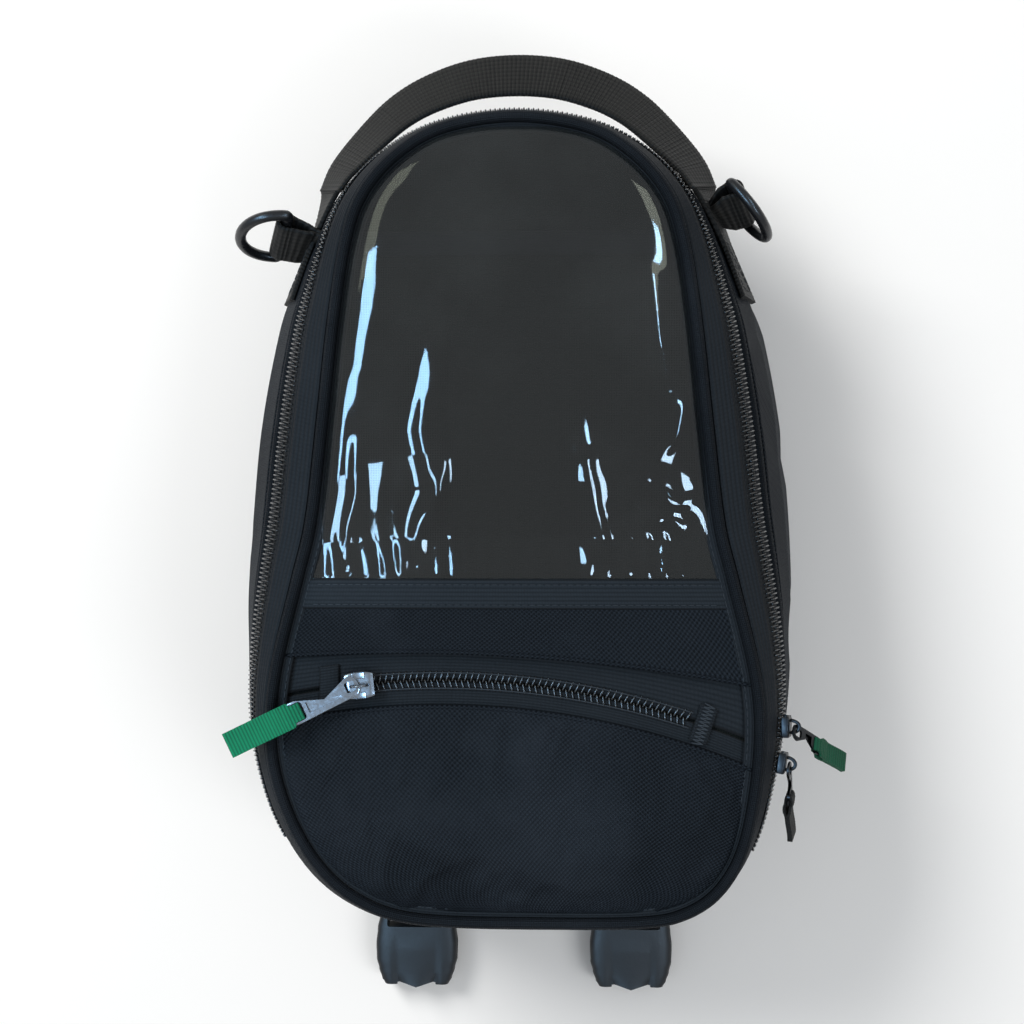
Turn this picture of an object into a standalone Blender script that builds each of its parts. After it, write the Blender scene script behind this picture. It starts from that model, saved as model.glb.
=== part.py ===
"""A strap-on tank bag, lying on its base: a soft tub with a hinged zip lid, a clear map window and a
front zip pocket. +Z is up out of the lid, +Y runs to the carry-handle end and +X to the right of
someone reading the window. The origin is the centre of the base's underside. Metres throughout."""

import math

import bmesh
import bpy
from mathutils import Matrix, Vector

# Overall sizes
LID_LENGTH = 0.324
LID_WIDTH = 0.198
TUB_LENGTH = 0.330
TUB_WIDTH = 0.234
TUB_TOP = 0.0865  # the gusset's upper edge, below the rolled edge and the zip
LID_SEAM = 0.1045  # the middle of the piping round the lid

# Cloth, foam and board
GAP = 0.0003  # between pieces that touch
MAT_THICK = 0.0030
BOARD_THICK = 0.0020
GUSSET_THICK = 0.0030
FOAM_THICK = 0.0045
LINING_THICK = 0.0010
LID_FOAM_THICK = 0.0045
LID_BACK_THICK = 0.0014
SHEET_THICK = 0.0009
CLOTH_THICK = 0.0014
PIPING_RADIUS = 0.0022
LID_INSET = 0.0060  # from the lid's edge in to its flat layers
FOAM_DROP = 0.0060  # from the gusset's upper edge down to the foam and the lining

# Main zip
TAPE_THICK = 0.0010
COIL_THICK = 0.0026
COIL_PROUD = 0.0008  # of the tapes' outer face
ZIP_ROW = 0.0020  # height that one tape or one coil row takes up on the sloping shoulder
ZIP_END = 0.78  # how far down each side the zip runs, as a share of the half outline

# Window and front pocket
WINDOW_BULGE = 0.0110
WINDOW_LOW = -0.0240  # where the window's lower seam crosses the lid
BAND_HEIGHT = 0.0115
POCKET_BULGE = 0.0085
ZIP_ARC_RADIUS = 0.320
ZIP_ARC_X = -0.028  # the arc's highest point
ZIP_ARC_Y = -0.0640
UPPER_SEAM_RADIUS = 0.700
UPPER_SEAM_X = -0.040
UPPER_SEAM_Y = -0.0526
LOWER_SEAM_Y = -0.0744
COIL_HALF = 0.0040
POCKET_COIL_THICK = 0.0018
POCKET_ZIP_LEFT = -0.0700
POCKET_ZIP_RIGHT = 0.0700
SLIDER_AT = -0.0610
POCKET_END = (0.0070, 0.0150)  # the stitched stops at both ends: width and depth
POCKET_STOP = 0.0015  # from the coil's end to the right stop

STRIP_BULGE = 0.0026
INNER_TAPE_LOW = 0.1050
INNER_TAPE_INSET = 0.0040
INNER_TAPE_THICK = 0.0006
TAPE_WIDTH = 0.0100

# Hardware
SLIDER_LENGTH = 0.0115
SLIDER_WIDTH = 0.0110
SLIDER_HEIGHT = 0.0048
MAIN_SLIDER_SCALE = 0.72
ARCH_RISE = 0.0042
ARCH_ROD = 0.0006
ARCH_HALF = 0.30  # half the arch's span as a share of the slider's length
PULL_THICK = 0.0010
PULL_EYE = 0.0020
PULL_RIM = 0.0014  # metal round the small eye
PULL_HOLE = 0.0031
PULL_END = 0.0020  # metal beyond the big hole
PULL_STRAP_THICK = 0.0008
STRAP_SPREAD = 0.0030  # from the pull's end to where its strap is at full width
SLIDER_CLEAR = 0.0016  # skirt of a main slider above the zip's skin
SLIDER_A_AT = -0.0820
SLIDER_B_AT = -0.0960
CHAPE_THICK = 0.0016
STRAP_TUCK = 0.0005  # how far the buckles' straps go in at the strap end
CHAPE_CLEAR = 0.0040  # the chape's foot stops this far off the patch's face
HANDLE_START = 0.1365
HANDLE_HINGE_Y = 0.1440
HANDLE_HINGE_Z = 0.0960
HANDLE_LOW = 0.0720
PATCH_END = 0.0900
PATCH_START = 0.1350
PATCH_LOW = 0.0600
PATCH_HIGH = 0.0810
PATCH_CLEAR = 0.0018
RING_HEIGHT = 0.0750
RING_PROUD = 0.0130  # the bar's distance off the wall
BUCKLE_Y = -0.2120
BUCKLE_LOW = 0.0010
BUCKLE_WALL = 0.0018
BUCKLE_BAR = 0.0036
BUCKLE_BAR_HEIGHT = 0.0042
BUCKLE_SLOT = 0.0052
BUCKLE_RAIL = 0.0040  # taken off the mouth's width by its two rails
BUCKLE_WINDOW = (0.0120, 0.0150)  # length of the side windows, and how far in they are centred
STRAP_ROOM = 0.0015  # in a slot, beyond the strap's width
WEBBING_WIDTH = 0.0250
WEBBING_THICK = 0.0020
RING_BAR = WEBBING_WIDTH + 0.0020  # clear length of the straight bar
RING_REACH = 0.0165  # bar to the top of the bow
RING_ROD = 0.0023  # rod radius
BUCKLE_WIDTH = 0.0370
BUCKLE_LENGTH = 0.0360
BUCKLE_HEIGHT = 0.0120
BUCKLE_SPACING = 0.0970
HANDLE_REACH = 0.1920  # lower edge of the handle's far end
HANDLE_LEAN = 0.80  # sine of the strap's lean inwards, in the middle
HANDLE_END_LEAN = 0.45
HANDLE_PROUD = 0.0102  # the strap's first point, beyond the side wall
HANDLE_COVER = 0.0250  # from the handle's path in to the strap's upper edge, along the strap

HALF_POINTS = 30

# Half outlines from the handle end to the strap end: (along, across) as shares of half the length and width
LID_UPPER = (
    (1.000, 0.000), (0.973, 0.293), (0.907, 0.485), (0.809, 0.626), (0.691, 0.697), (0.500, 0.747),
    (0.247, 0.792), (0.000, 0.838), (-0.148, 0.895), (-0.383, 0.985), (-0.562, 1.000),
)  # fmt: skip
LID_RIGHT = ((-0.777, 0.947), (-0.900, 0.850), (-0.970, 0.700), (-0.996, 0.490), (-1.000, 0.000))
LID_LEFT = ((-0.716, 0.938), (-0.850, 0.815), (-0.940, 0.650), (-0.990, 0.420), (-1.000, 0.000))
TUB_HALF = (
    (1.000, 0.000), (0.975, 0.270), (0.909, 0.500), (0.788, 0.684), (0.588, 0.829), (0.455, 0.897),
    (0.188, 0.966), (-0.145, 1.000), (-0.320, 0.991), (-0.480, 0.970), (-0.620, 0.925),
    (-0.760, 0.850), (-0.900, 0.690), (-0.980, 0.420), (-1.000, 0.000),
)  # fmt: skip

# The side from the lid's seam down to the base: height as a share, and how far out from lid to tub
SHOULDER = ((0.9600, 0.300), (0.9150, 0.400), (0.8300, 0.615), (0.6700, 0.860), (0.4000, 1.000),
            (0.1900, 0.970), (0.0000, 0.900))  # fmt: skip


def material(name, colour, roughness, metallic=0.0, alpha=1.0):
    made = bpy.data.materials.new(name)
    made.use_nodes = True
    shader = made.node_tree.nodes["Principled BSDF"]
    shader.inputs["Base Color"].default_value = (*colour, 1.0)
    shader.inputs["Roughness"].default_value = roughness
    shader.inputs["Metallic"].default_value = metallic
    shader.inputs["Alpha"].default_value = alpha
    return made


def add(name, bm, look, pivot=(0.0, 0.0, 0.0), smooth=True):
    """Makes an object whose mesh was drawn in world places, with its origin moved to the pivot."""
    bmesh.ops.remove_doubles(bm, verts=bm.verts, dist=1e-7)
    bmesh.ops.recalc_face_normals(bm, faces=bm.faces)
    bmesh.ops.translate(bm, verts=bm.verts, vec=-Vector(pivot))
    mesh = bpy.data.meshes.new(name)
    bm.to_mesh(mesh)
    bm.free()
    if smooth:
        mesh.shade_smooth()
        mesh.set_sharp_from_angle(angle=math.radians(40))
    mesh.materials.append(look)
    made = bpy.data.objects.new(name, mesh)
    made.location = pivot
    bpy.context.scene.collection.objects.link(made)
    return made


def join(target, *others):
    """Unites the others with the target, and leaves them as hidden helpers."""
    for other in others:
        union = target.modifiers.new(f"with_{other.name}", "BOOLEAN")
        union.operation = "UNION"
        union.solver = "EXACT"
        union.object = other
        hide(other)
    return target


def cut(target, cutter):
    hole = target.modifiers.new(f"less_{cutter.name}", "BOOLEAN")
    hole.operation = "DIFFERENCE"
    hole.solver = "EXACT"
    hole.object = cutter
    hide(cutter)
    return target


def hide(helper):
    helper.hide_render = True
    helper.display_type = "WIRE"


# ---- curves and outlines


def through(points, steps=16):
    """A smooth line through the points; the first and the last only steer it."""
    line = []
    for i in range(1, len(points) - 2):
        a, b, c, d = (Vector(p) for p in points[i - 1 : i + 3])
        for s in range(steps):
            t = s / steps
            bend = (2 * a - 5 * b + 4 * c - d) * t**2 + (3 * b - a - 3 * c + d) * t**3
            line.append(0.5 * (2 * b + (c - a) * t + bend))
    line.append(Vector(points[-2]))
    return line


def spaced(line, count):
    """Count + 1 points along a line at equal distances."""
    lengths = [0.0]
    for a, b in zip(line, line[1:]):
        lengths.append(lengths[-1] + (b - a).length)
    found = []
    at = 0
    for i in range(count + 1):
        want = lengths[-1] * i / count
        while at < len(line) - 2 and lengths[at + 1] < want:
            at += 1
        share = (want - lengths[at]) / (lengths[at + 1] - lengths[at])
        found.append(line[at].lerp(line[at + 1], min(max(share, 0.0), 1.0)))
    return found


def half_line(shares, length, width, side):
    """Half an outline, as a dense line from the handle end to the strap end."""
    points = [Vector((side * across * width / 2, along * length / 2)) for along, across in shares]
    before = Vector((-points[1].x, points[1].y))
    after = Vector((-points[-2].x, points[-2].y))
    return through([before, *points, after])


LID_LINES = {
    1: half_line(LID_UPPER + LID_RIGHT, LID_LENGTH, LID_WIDTH, 1),
    -1: half_line(LID_UPPER + LID_LEFT, LID_LENGTH, LID_WIDTH, -1),
}
TUB_LINES = {side: half_line(TUB_HALF, TUB_LENGTH, TUB_WIDTH, side) for side in (1, -1)}


def whole(lines):
    right = spaced(lines[1], HALF_POINTS)
    left = spaced(lines[-1], HALF_POINTS)
    return right[:-1] + left[:0:-1]


LID_RING = whole(LID_LINES)
TUB_RING = whole(TUB_LINES)
AROUND = len(LID_RING)


def ring(out, grow=0.0, z=0.0):
    """A closed outline between the lid's (0) and the tub's (1), grown sideways, at height z."""
    flat = [a.lerp(b, out) for a, b in zip(LID_RING, TUB_RING)]
    made = []
    for i, point in enumerate(flat):
        along = (flat[(i + 1) % AROUND] - flat[i - 1]).normalized()
        made.append(Vector((point.x - along.y * grow, point.y + along.x * grow, z)))
    return made


def inset_line(side, inset):
    """Half of the lid's outline, moved in by the inset."""
    line = LID_LINES[side]
    moved = []
    for i, point in enumerate(line):
        along = (line[min(i + 1, len(line) - 1)] - line[max(i - 1, 0)]).normalized()
        moved.append(Vector((point.x + side * along.y * inset, point.y - side * along.x * inset)))
    return moved


def half_width(y, side, line):
    """Where a half line crosses this y."""
    for a, b in zip(line, line[1:]):
        if a.y >= y > b.y:
            return side * max(side * (a.x + (b.x - a.x) * (a.y - y) / (a.y - b.y)), 0.0)
    return 0.0


def shoulder(z):
    """How far out the side is at height z, from 0 at the lid's seam to 1 at the tub's widest."""
    steps = [(1.0, 0.0), *SHOULDER]
    share = min(max(z / LID_SEAM, 0.0), 1.0)
    for (high, near), (low, far) in zip(steps, steps[1:]):
        if share >= low:
            return near + (far - near) * (high - share) / (high - low)
    return SHOULDER[-1][1]


# ---- solids from outlines


def loft(bm, loops, closed=False):
    """Joins loops of equal length with quads; closed joins the last to the first as well."""
    rows = [[bm.verts.new(p) for p in loop] for loop in loops]
    pairs = list(zip(rows, rows[1:] + rows[:1] if closed else rows[1:]))
    for low, high in pairs:
        count = len(low)
        for i in range(count):
            j = (i + 1) % count
            bm.faces.new((low[i], low[j], high[j], high[i]))
    return rows


def stack(name, loops, look, pivot=(0.0, 0.0, 0.0)):
    """A solid lofted through loops, with both ends closed."""
    bm = bmesh.new()
    rows = loft(bm, loops)
    bm.faces.new(list(reversed(rows[0])))
    bm.faces.new(rows[-1])
    bmesh.ops.triangulate(bm, faces=[f for f in bm.faces if len(f.verts) > 4])
    return add(name, bm, look, pivot)


def band(name, loops, look):
    """A ring-shaped solid whose loops go once round its section."""
    bm = bmesh.new()
    loft(bm, loops, closed=True)
    return add(name, bm, look)


def run(name, profile, look, first, last):
    """A solid that follows the outline from one point number to another; profile is (out, grow, z)."""
    rings = [ring(*corner) for corner in profile]
    loops = [[edge[i % AROUND] for edge in rings] for i in range(first, last + 1)]
    return stack(name, loops, look)


def skin(low, high, thick, proud=0.0):
    """The section of a strip that lies on the sloping side from height low to height high."""
    return [
        (shoulder(low), proud, low),
        (shoulder(high), proud, high),
        (shoulder(high), proud - thick, high),
        (shoulder(low), proud - thick, low),
    ]


def round_section(out, grow, z, radius, sides=6):
    turn = 2 * math.pi / sides
    return [
        (out, grow + radius * math.cos(turn * i), z + radius * math.sin(turn * i)) for i in range(sides)
    ]


def sheet(name, rows, thick, look):
    """A curved sheet: rows of points on its upper face, and the same points lower by its thickness."""
    bm = bmesh.new()
    top = [[bm.verts.new(p) for p in row] for row in rows]
    low = [[bm.verts.new(p - Vector((0, 0, thick))) for p in row] for row in rows]
    down, across = len(rows), len(rows[0])
    for i in range(down - 1):
        for j in range(across - 1):
            bm.faces.new((top[i][j], top[i][j + 1], top[i + 1][j + 1], top[i + 1][j]))
            bm.faces.new((low[i][j], low[i + 1][j], low[i + 1][j + 1], low[i][j + 1]))
    rim = [(0, j) for j in range(across)] + [(i, across - 1) for i in range(1, down)]
    rim += [(down - 1, j) for j in range(across - 2, -1, -1)] + [(i, 0) for i in range(down - 2, 0, -1)]
    for (i, j), (m, n) in zip(rim, rim[1:] + rim[:1]):
        bm.faces.new((top[i][j], low[i][j], low[m][n], top[m][n]))
    return add(name, bm, look)


def lid_rows(low, high, down, across, inset, height):
    """Rows of points over the lid between two curves y(x), from edge to edge; height(u, v) gives z."""
    rows = []
    lines = {side: inset_line(side, inset) for side in (-1, 1)}
    for i in range(down + 1):
        v = i / down
        ends = {}
        for side in (-1, 1):
            x = side * LID_WIDTH * 0.35
            for _ in range(12):
                y = low(x) + (high(x) - low(x)) * v
                x = half_width(y, side, lines[side])
            ends[side] = x
        row = []
        for j in range(across + 1):
            u = j / across
            x = ends[-1] + (ends[1] - ends[-1]) * u
            y = low(x) + (high(x) - low(x)) * v
            row.append(Vector((x, y, height(u, v))))
        rows.append(row)
    return rows


def arc(radius, x_top, y_top):
    return lambda x: y_top - radius + math.sqrt(radius**2 - (x - x_top) ** 2)


def level(y):
    return lambda x: y


def box(name, size, look, middle):
    bm = bmesh.new()
    bmesh.ops.create_cube(bm, size=1.0)
    bmesh.ops.scale(bm, verts=bm.verts, vec=size)
    place(bm, middle)
    return add(name, bm, look, smooth=False)


def place(bm, middle, turn=None):
    """Turns what bm holds by a matrix whose columns are its new axes, then moves it to the middle."""
    if turn is not None:
        bmesh.ops.transform(bm, verts=bm.verts, matrix=turn.to_4x4())
    bmesh.ops.translate(bm, verts=bm.verts, vec=Vector(middle))


def axes(x, y, z):
    return Matrix((Vector(x), Vector(y), Vector(z))).transposed()


def upright(forward, up):
    """Axes with +Y along forward and +Z as near to up as it goes."""
    y = Vector(forward).normalized()
    x = y.cross(Vector(up)).normalized()
    return axes(x, y, x.cross(y))


def ribbon(name, edges, thick, look, pivot=(0.0, 0.0, 0.0)):
    """A strap between two edge lines of equal length, thickened on the side its faces point away from."""
    lines = []
    for i, (a, b) in enumerate(edges):
        before = edges[max(i - 1, 0)]
        after = edges[min(i + 1, len(edges) - 1)]
        along = (after[0] + after[1] - before[0] - before[1]).normalized()
        normal = along.cross(b - a).normalized() * thick
        lines.append([a, b, b + normal, a + normal])
    return stack(name, lines, look, pivot)


def pipe(points, radius, sides, closed=False):
    """A round rod along points, as a bmesh."""
    bm = bmesh.new()
    loops = []
    count = len(points)
    normal = None
    for i, point in enumerate(points):
        before = points[i - 1] if closed or i else points[0]
        after = points[(i + 1) % count] if closed or i < count - 1 else points[-1]
        along = (after - before).normalized()
        if normal is None:
            normal = along.orthogonal().normalized()
        normal = (normal - along * normal.dot(along)).normalized()
        other = along.cross(normal)
        turns = [2 * math.pi * k / sides for k in range(sides)]
        loops.append([point + radius * (math.cos(t) * normal + math.sin(t) * other) for t in turns])
    rows = loft(bm, loops, closed=closed)
    if not closed:
        bm.faces.new(list(reversed(rows[0])))
        bm.faces.new(rows[-1])
    return bm


def tube(outer, inner, width, middle, turn):
    """A wall between two loops drawn in local X and Y, extruded along local Z, as a bmesh."""
    bm = bmesh.new()
    loops = []
    for shape, z in ((outer, -0.5), (outer, 0.5), (inner, 0.5), (inner, -0.5)):
        loops.append([Vector((x, y, z * width)) for x, y in shape])
    loft(bm, loops, closed=True)
    place(bm, middle, turn)
    return bm


# ---- looks

shell_cloth = material("shell_cloth", (0.012, 0.015, 0.019), 0.85)
lining_cloth = material("lining_cloth", (0.045, 0.048, 0.052), 0.9)
grip_rubber = material("grip_rubber", (0.010, 0.010, 0.011), 0.7)
board_plastic = material("board_plastic", (0.05, 0.05, 0.05), 0.5)
foam_grey = material("foam_grey", (0.08, 0.08, 0.085), 0.95)
rib_tape = material("rib_tape", (0.016, 0.018, 0.021), 0.75)
coil_plastic = material("coil_plastic", (0.020, 0.021, 0.023), 0.35)
clear_sheet = material("clear_sheet", (0.80, 0.86, 0.88), 0.08, alpha=0.25)
strap_black = material("strap_black", (0.014, 0.014, 0.015), 0.8)
strap_green = material("strap_green", (0.0, 0.22, 0.09), 0.75)
hard_plastic = material("hard_plastic", (0.010, 0.011, 0.013), 0.4)
bright_metal = material("bright_metal", (0.62, 0.63, 0.64), 0.3, metallic=1.0)
dark_metal = material("dark_metal", (0.05, 0.05, 0.05), 0.4, metallic=1.0)


def build_tub():
    base = shoulder(0.0)
    mat_top = MAT_THICK
    board_low = mat_top + GAP
    board_top = board_low + BOARD_THICK
    inner = -(GUSSET_THICK + 2 * GAP)
    mat = [ring(base, -0.002, 0.0), ring(base, 0.0, 0.001), ring(base, 0.0, mat_top)]
    stack("grip_base", mat, grip_rubber)
    stack("base_board", [ring(base, inner, board_low), ring(base, inner, board_top)], board_plastic)

    heights = [mat_top + GAP] + [LID_SEAM * share for share, _ in reversed(SHOULDER[2:-1])]
    heights = [z for z in heights if z < TUB_TOP] + [TUB_TOP]
    outside = [ring(shoulder(z), 0.0, z) for z in heights]
    inside = [ring(shoulder(z), -GUSSET_THICK, z) for z in reversed(heights)]
    band("tub_gusset", outside + inside, shell_cloth)

    foam_heights = [board_top + GAP] + heights[1:-1] + [TUB_TOP - FOAM_DROP]
    outside = [ring(shoulder(z), inner, z) for z in foam_heights]
    inside = [ring(shoulder(z), inner - FOAM_THICK, z) for z in reversed(foam_heights)]
    band("side_foam", outside + inside, foam_grey)

    inner -= FOAM_THICK + GAP
    floor = board_top + GAP
    cup = [ring(shoulder(z), inner - LINING_THICK, z) for z in [floor + LINING_THICK] + heights[1:-1]]
    top = TUB_TOP - FOAM_DROP
    cup += [ring(shoulder(top), inner - LINING_THICK, top), ring(shoulder(top), inner, top)]
    cup += [ring(shoulder(z), inner, z) for z in list(reversed(heights[1:-1])) + [floor]]
    stack("tub_lining", cup, lining_cloth)

    z = TUB_TOP + GAP + PIPING_RADIUS
    section = round_section(shoulder(z), -PIPING_RADIUS / 2, z, PIPING_RADIUS)
    band("tub_piping", [ring(*corner) for corner in section], shell_cloth)
    return z + PIPING_RADIUS


def build_zip(low):
    """The four rows of the main zip on the shoulder, from the tub's rolled edge up to the lid."""
    end = round(HALF_POINTS * ZIP_END)
    rows = (
        ("lower_zip_tape", rib_tape, TAPE_THICK, 0.0),
        ("lower_zip_coil", coil_plastic, COIL_THICK, COIL_PROUD),
        ("upper_zip_coil", coil_plastic, COIL_THICK, COIL_PROUD),
        ("upper_zip_tape", rib_tape, TAPE_THICK, 0.0),
    )
    for name, look, thick, proud in rows:
        high = low + GAP + ZIP_ROW
        run(name, skin(low + GAP, high, thick, proud), look, -end, end)
        low = high
    low += GAP
    high = LID_SEAM - PIPING_RADIUS - GAP
    section = skin(low, high, CLOTH_THICK)
    band("lid_gusset", [ring(*corner) for corner in section], rib_tape)


def build_lid():
    edge = [ring(*corner) for corner in round_section(0.0, -PIPING_RADIUS, LID_SEAM, PIPING_RADIUS)]
    band("lid_piping", edge, shell_cloth)
    back_top = LID_SEAM - 2 * PIPING_RADIUS
    back_low = back_top - LID_BACK_THICK
    stack("lid_back", [ring(0, -LID_INSET, back_low), ring(0, -LID_INSET, back_top)], lining_cloth)
    foam_top = back_low - GAP
    foam_low = foam_top - LID_FOAM_THICK
    stack("lid_foam", [ring(0, -LID_INSET, foam_low), ring(0, -LID_INSET, foam_top)], foam_grey)
    lining_top = foam_low - GAP
    loops = [ring(0, -LID_INSET, lining_top - LINING_THICK), ring(0, -LID_INSET, lining_top)]
    stack("lid_lining", loops, lining_cloth)
    return back_top


def rise(share, power=0.55):
    """A dome's height across its width: 0 at both edges, 1 in the middle."""
    return max(4 * share * (1 - share), 0.0) ** power


def build_window(back_top):
    inset = 2 * PIPING_RADIUS + GAP
    rim = back_top + CLOTH_THICK + GAP
    top = LID_LENGTH / 2 - inset - 0.001

    def height(u, v):
        low_seam = 0.24 * rise(u) * (1 - v)
        return rim + WINDOW_BULGE * max(rise(u, 0.4) * rise(v, 0.35), low_seam)

    rows = lid_rows(level(WINDOW_LOW), level(top), 12, 12, inset, height)
    sheet("window_sheet", rows, SHEET_THICK, clear_sheet)
    band_top = WINDOW_LOW - GAP
    band_low = WINDOW_LOW - BAND_HEIGHT
    rows = lid_rows(level(band_low), level(band_top), 1, 12, inset, lambda u, v: rim + STRIP_BULGE * rise(u))
    sheet("window_band", rows, CLOTH_THICK, rib_tape)
    z = back_top + GAP + INNER_TAPE_THICK
    inset += INNER_TAPE_INSET
    rows = lid_rows(level(INNER_TAPE_LOW), level(INNER_TAPE_LOW + TAPE_WIDTH), 1, 8, inset, lambda u, v: z)
    sheet("inner_tape", rows, INNER_TAPE_THICK, rib_tape)
    return band_low


def shifted(curve, by):
    return lambda x: curve(x) + by


def zip_arc(angle, radius=None):
    """A point on the pocket zip's arc, by its angle from the arc's highest point."""
    radius = ZIP_ARC_RADIUS if radius is None else radius
    centre_y = ZIP_ARC_Y - ZIP_ARC_RADIUS
    return Vector((ZIP_ARC_X + radius * math.sin(angle), centre_y + radius * math.cos(angle), 0.0))


def arc_angle(x):
    return math.asin((x - ZIP_ARC_X) / ZIP_ARC_RADIUS)


def build_pocket(back_top, band_low):
    inset = 2 * PIPING_RADIUS + GAP
    rim = back_top + CLOTH_THICK + GAP
    upper = arc(UPPER_SEAM_RADIUS, UPPER_SEAM_X, UPPER_SEAM_Y)
    middle = arc(ZIP_ARC_RADIUS, ZIP_ARC_X, ZIP_ARC_Y)
    lower = arc(ZIP_ARC_RADIUS, ZIP_ARC_X, LOWER_SEAM_Y)

    def strip_height(u, v):
        return rim + STRIP_BULGE * rise(u)

    rows = lid_rows(shifted(upper, GAP), level(band_low - GAP), 2, 12, inset, strip_height)
    sheet("front_strip", rows, CLOTH_THICK, shell_cloth)
    tape = back_top + TAPE_THICK + 2 * GAP
    reach = COIL_HALF + 2 * GAP
    rows = lid_rows(shifted(middle, reach), shifted(upper, -GAP), 1, 12, inset, lambda u, v: tape)
    sheet("pocket_tape_upper", rows, TAPE_THICK, rib_tape)
    rows = lid_rows(shifted(lower, GAP), shifted(middle, -reach), 1, 12, inset, lambda u, v: tape)
    sheet("pocket_tape_lower", rows, TAPE_THICK, rib_tape)
    coil_top = back_top + GAP + POCKET_COIL_THICK
    first = arc_angle(SLIDER_AT) + SLIDER_LENGTH * 0.2 / ZIP_ARC_RADIUS
    last = arc_angle(POCKET_ZIP_RIGHT)
    angles = [first + (last - first) * i / 14 for i in range(15)]
    for name, near, far in (("upper", GAP / 2, COIL_HALF), ("lower", -COIL_HALF, -GAP / 2)):
        rows = []
        for out in (near, far):
            rows.append([zip_arc(a, ZIP_ARC_RADIUS + out) + Vector((0, 0, coil_top)) for a in angles])
        sheet(f"pocket_coil_{name}", rows, POCKET_COIL_THICK, coil_plastic)

    def panel_height(u, v):
        return rim + POCKET_BULGE * rise(u, 0.5) * math.sin(math.pi * max(v, 0.0) ** 0.8) ** 0.7

    low_edge = -LID_LENGTH / 2 + inset + 0.0005
    rows = lid_rows(level(low_edge), shifted(lower, -GAP), 10, 14, inset, panel_height)
    sheet("pocket_panel", rows, CLOTH_THICK, shell_cloth)

    # The closed ends of the zip: a folded corner of cloth on the left and a stitched stop on the right
    width, depth = POCKET_END
    for name, x in (
        ("pocket_end_left", POCKET_ZIP_LEFT - width / 2),
        ("pocket_end_right", POCKET_ZIP_RIGHT + POCKET_STOP + width / 2),
    ):
        at = zip_arc(arc_angle(x)) + Vector((0, 0, tape + GAP + TAPE_THICK / 2))
        box(name, (width, depth, TAPE_THICK), rib_tape, at)
    return coil_top


def slider_body(name, length, width, height, look, middle, turn, pivot):
    """A zip slider: a channel that straddles the coil, narrower behind, with an arch for its pull."""
    bm = bmesh.new()
    wall = width * 0.14
    roof = height * 0.42
    half = width / 2
    section = [
        (-half, 0), (-half, height * 0.8), (-width * 0.36, height), (width * 0.36, height),
        (half, height * 0.8), (half, 0), (half - wall, 0), (half - wall, height - roof),
        (-half + wall, height - roof), (-half + wall, 0),
    ]  # fmt: skip
    loops = []
    for along, wide in ((-0.5, 0.80), (-0.30, 0.92), (0.15, 1.0), (0.38, 0.96), (0.5, 0.80)):
        loops.append([Vector((x * wide, along * length, z)) for x, z in section])
    rows = loft(bm, loops)
    bm.faces.new(list(reversed(rows[0])))
    bm.faces.new(rows[-1])
    bmesh.ops.triangulate(bm, faces=[f for f in bm.faces if len(f.verts) > 4])
    place(bm, middle, turn)
    body = add(name, bm, look, pivot=pivot)
    rise_points = []
    for i in range(9):
        angle = math.pi * i / 8
        up = height * 0.8 + math.sin(angle) * ARCH_RISE
        rise_points.append(Vector((0, -math.cos(angle) * length * ARCH_HALF, up)))
    arch = pipe(rise_points, ARCH_ROD, 6)
    place(arch, middle, turn)
    return join(body, add(f"{name}_arch", arch, look, pivot=pivot))


def pull_tab(name, length, width, look, hinge, turn):
    """A flat pull lying along local +Y from its hinge: a small eye at the arch, a big one at the end."""
    hole = min(PULL_HOLE, width / 2 - 0.0012)
    far = length - hole - PULL_END
    near = PULL_EYE + PULL_RIM
    outline = []
    for middle_y, radius, start in ((far, width / 2, 0), (0.0, near, 180)):
        for i in range(9):
            angle = math.radians(start + 180 * i / 8)
            outline.append((radius * math.cos(angle), middle_y + radius * math.sin(angle)))
    bm = bmesh.new()
    rows = loft(bm, [[Vector((x, y, z)) for x, y in outline] for z in (-PULL_THICK / 2, PULL_THICK / 2)])
    bm.faces.new(list(reversed(rows[0])))
    bm.faces.new(rows[-1])
    bmesh.ops.triangulate(bm, faces=[f for f in bm.faces if len(f.verts) > 4])
    place(bm, hinge, turn)
    tab = add(name, bm, look, pivot=hinge)
    for label, y, radius in (("near", 0.0, PULL_EYE), ("far", far, hole)):
        drill = bmesh.new()
        bmesh.ops.create_cone(drill, cap_ends=True, segments=14, radius1=radius, radius2=radius, depth=0.01)
        bmesh.ops.translate(drill, verts=drill.verts, vec=(0, y, 0))
        place(drill, hinge, turn)
        cut(tab, add(f"{name}_{label}_hole", drill, look, pivot=hinge))
    return far, hole


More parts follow.
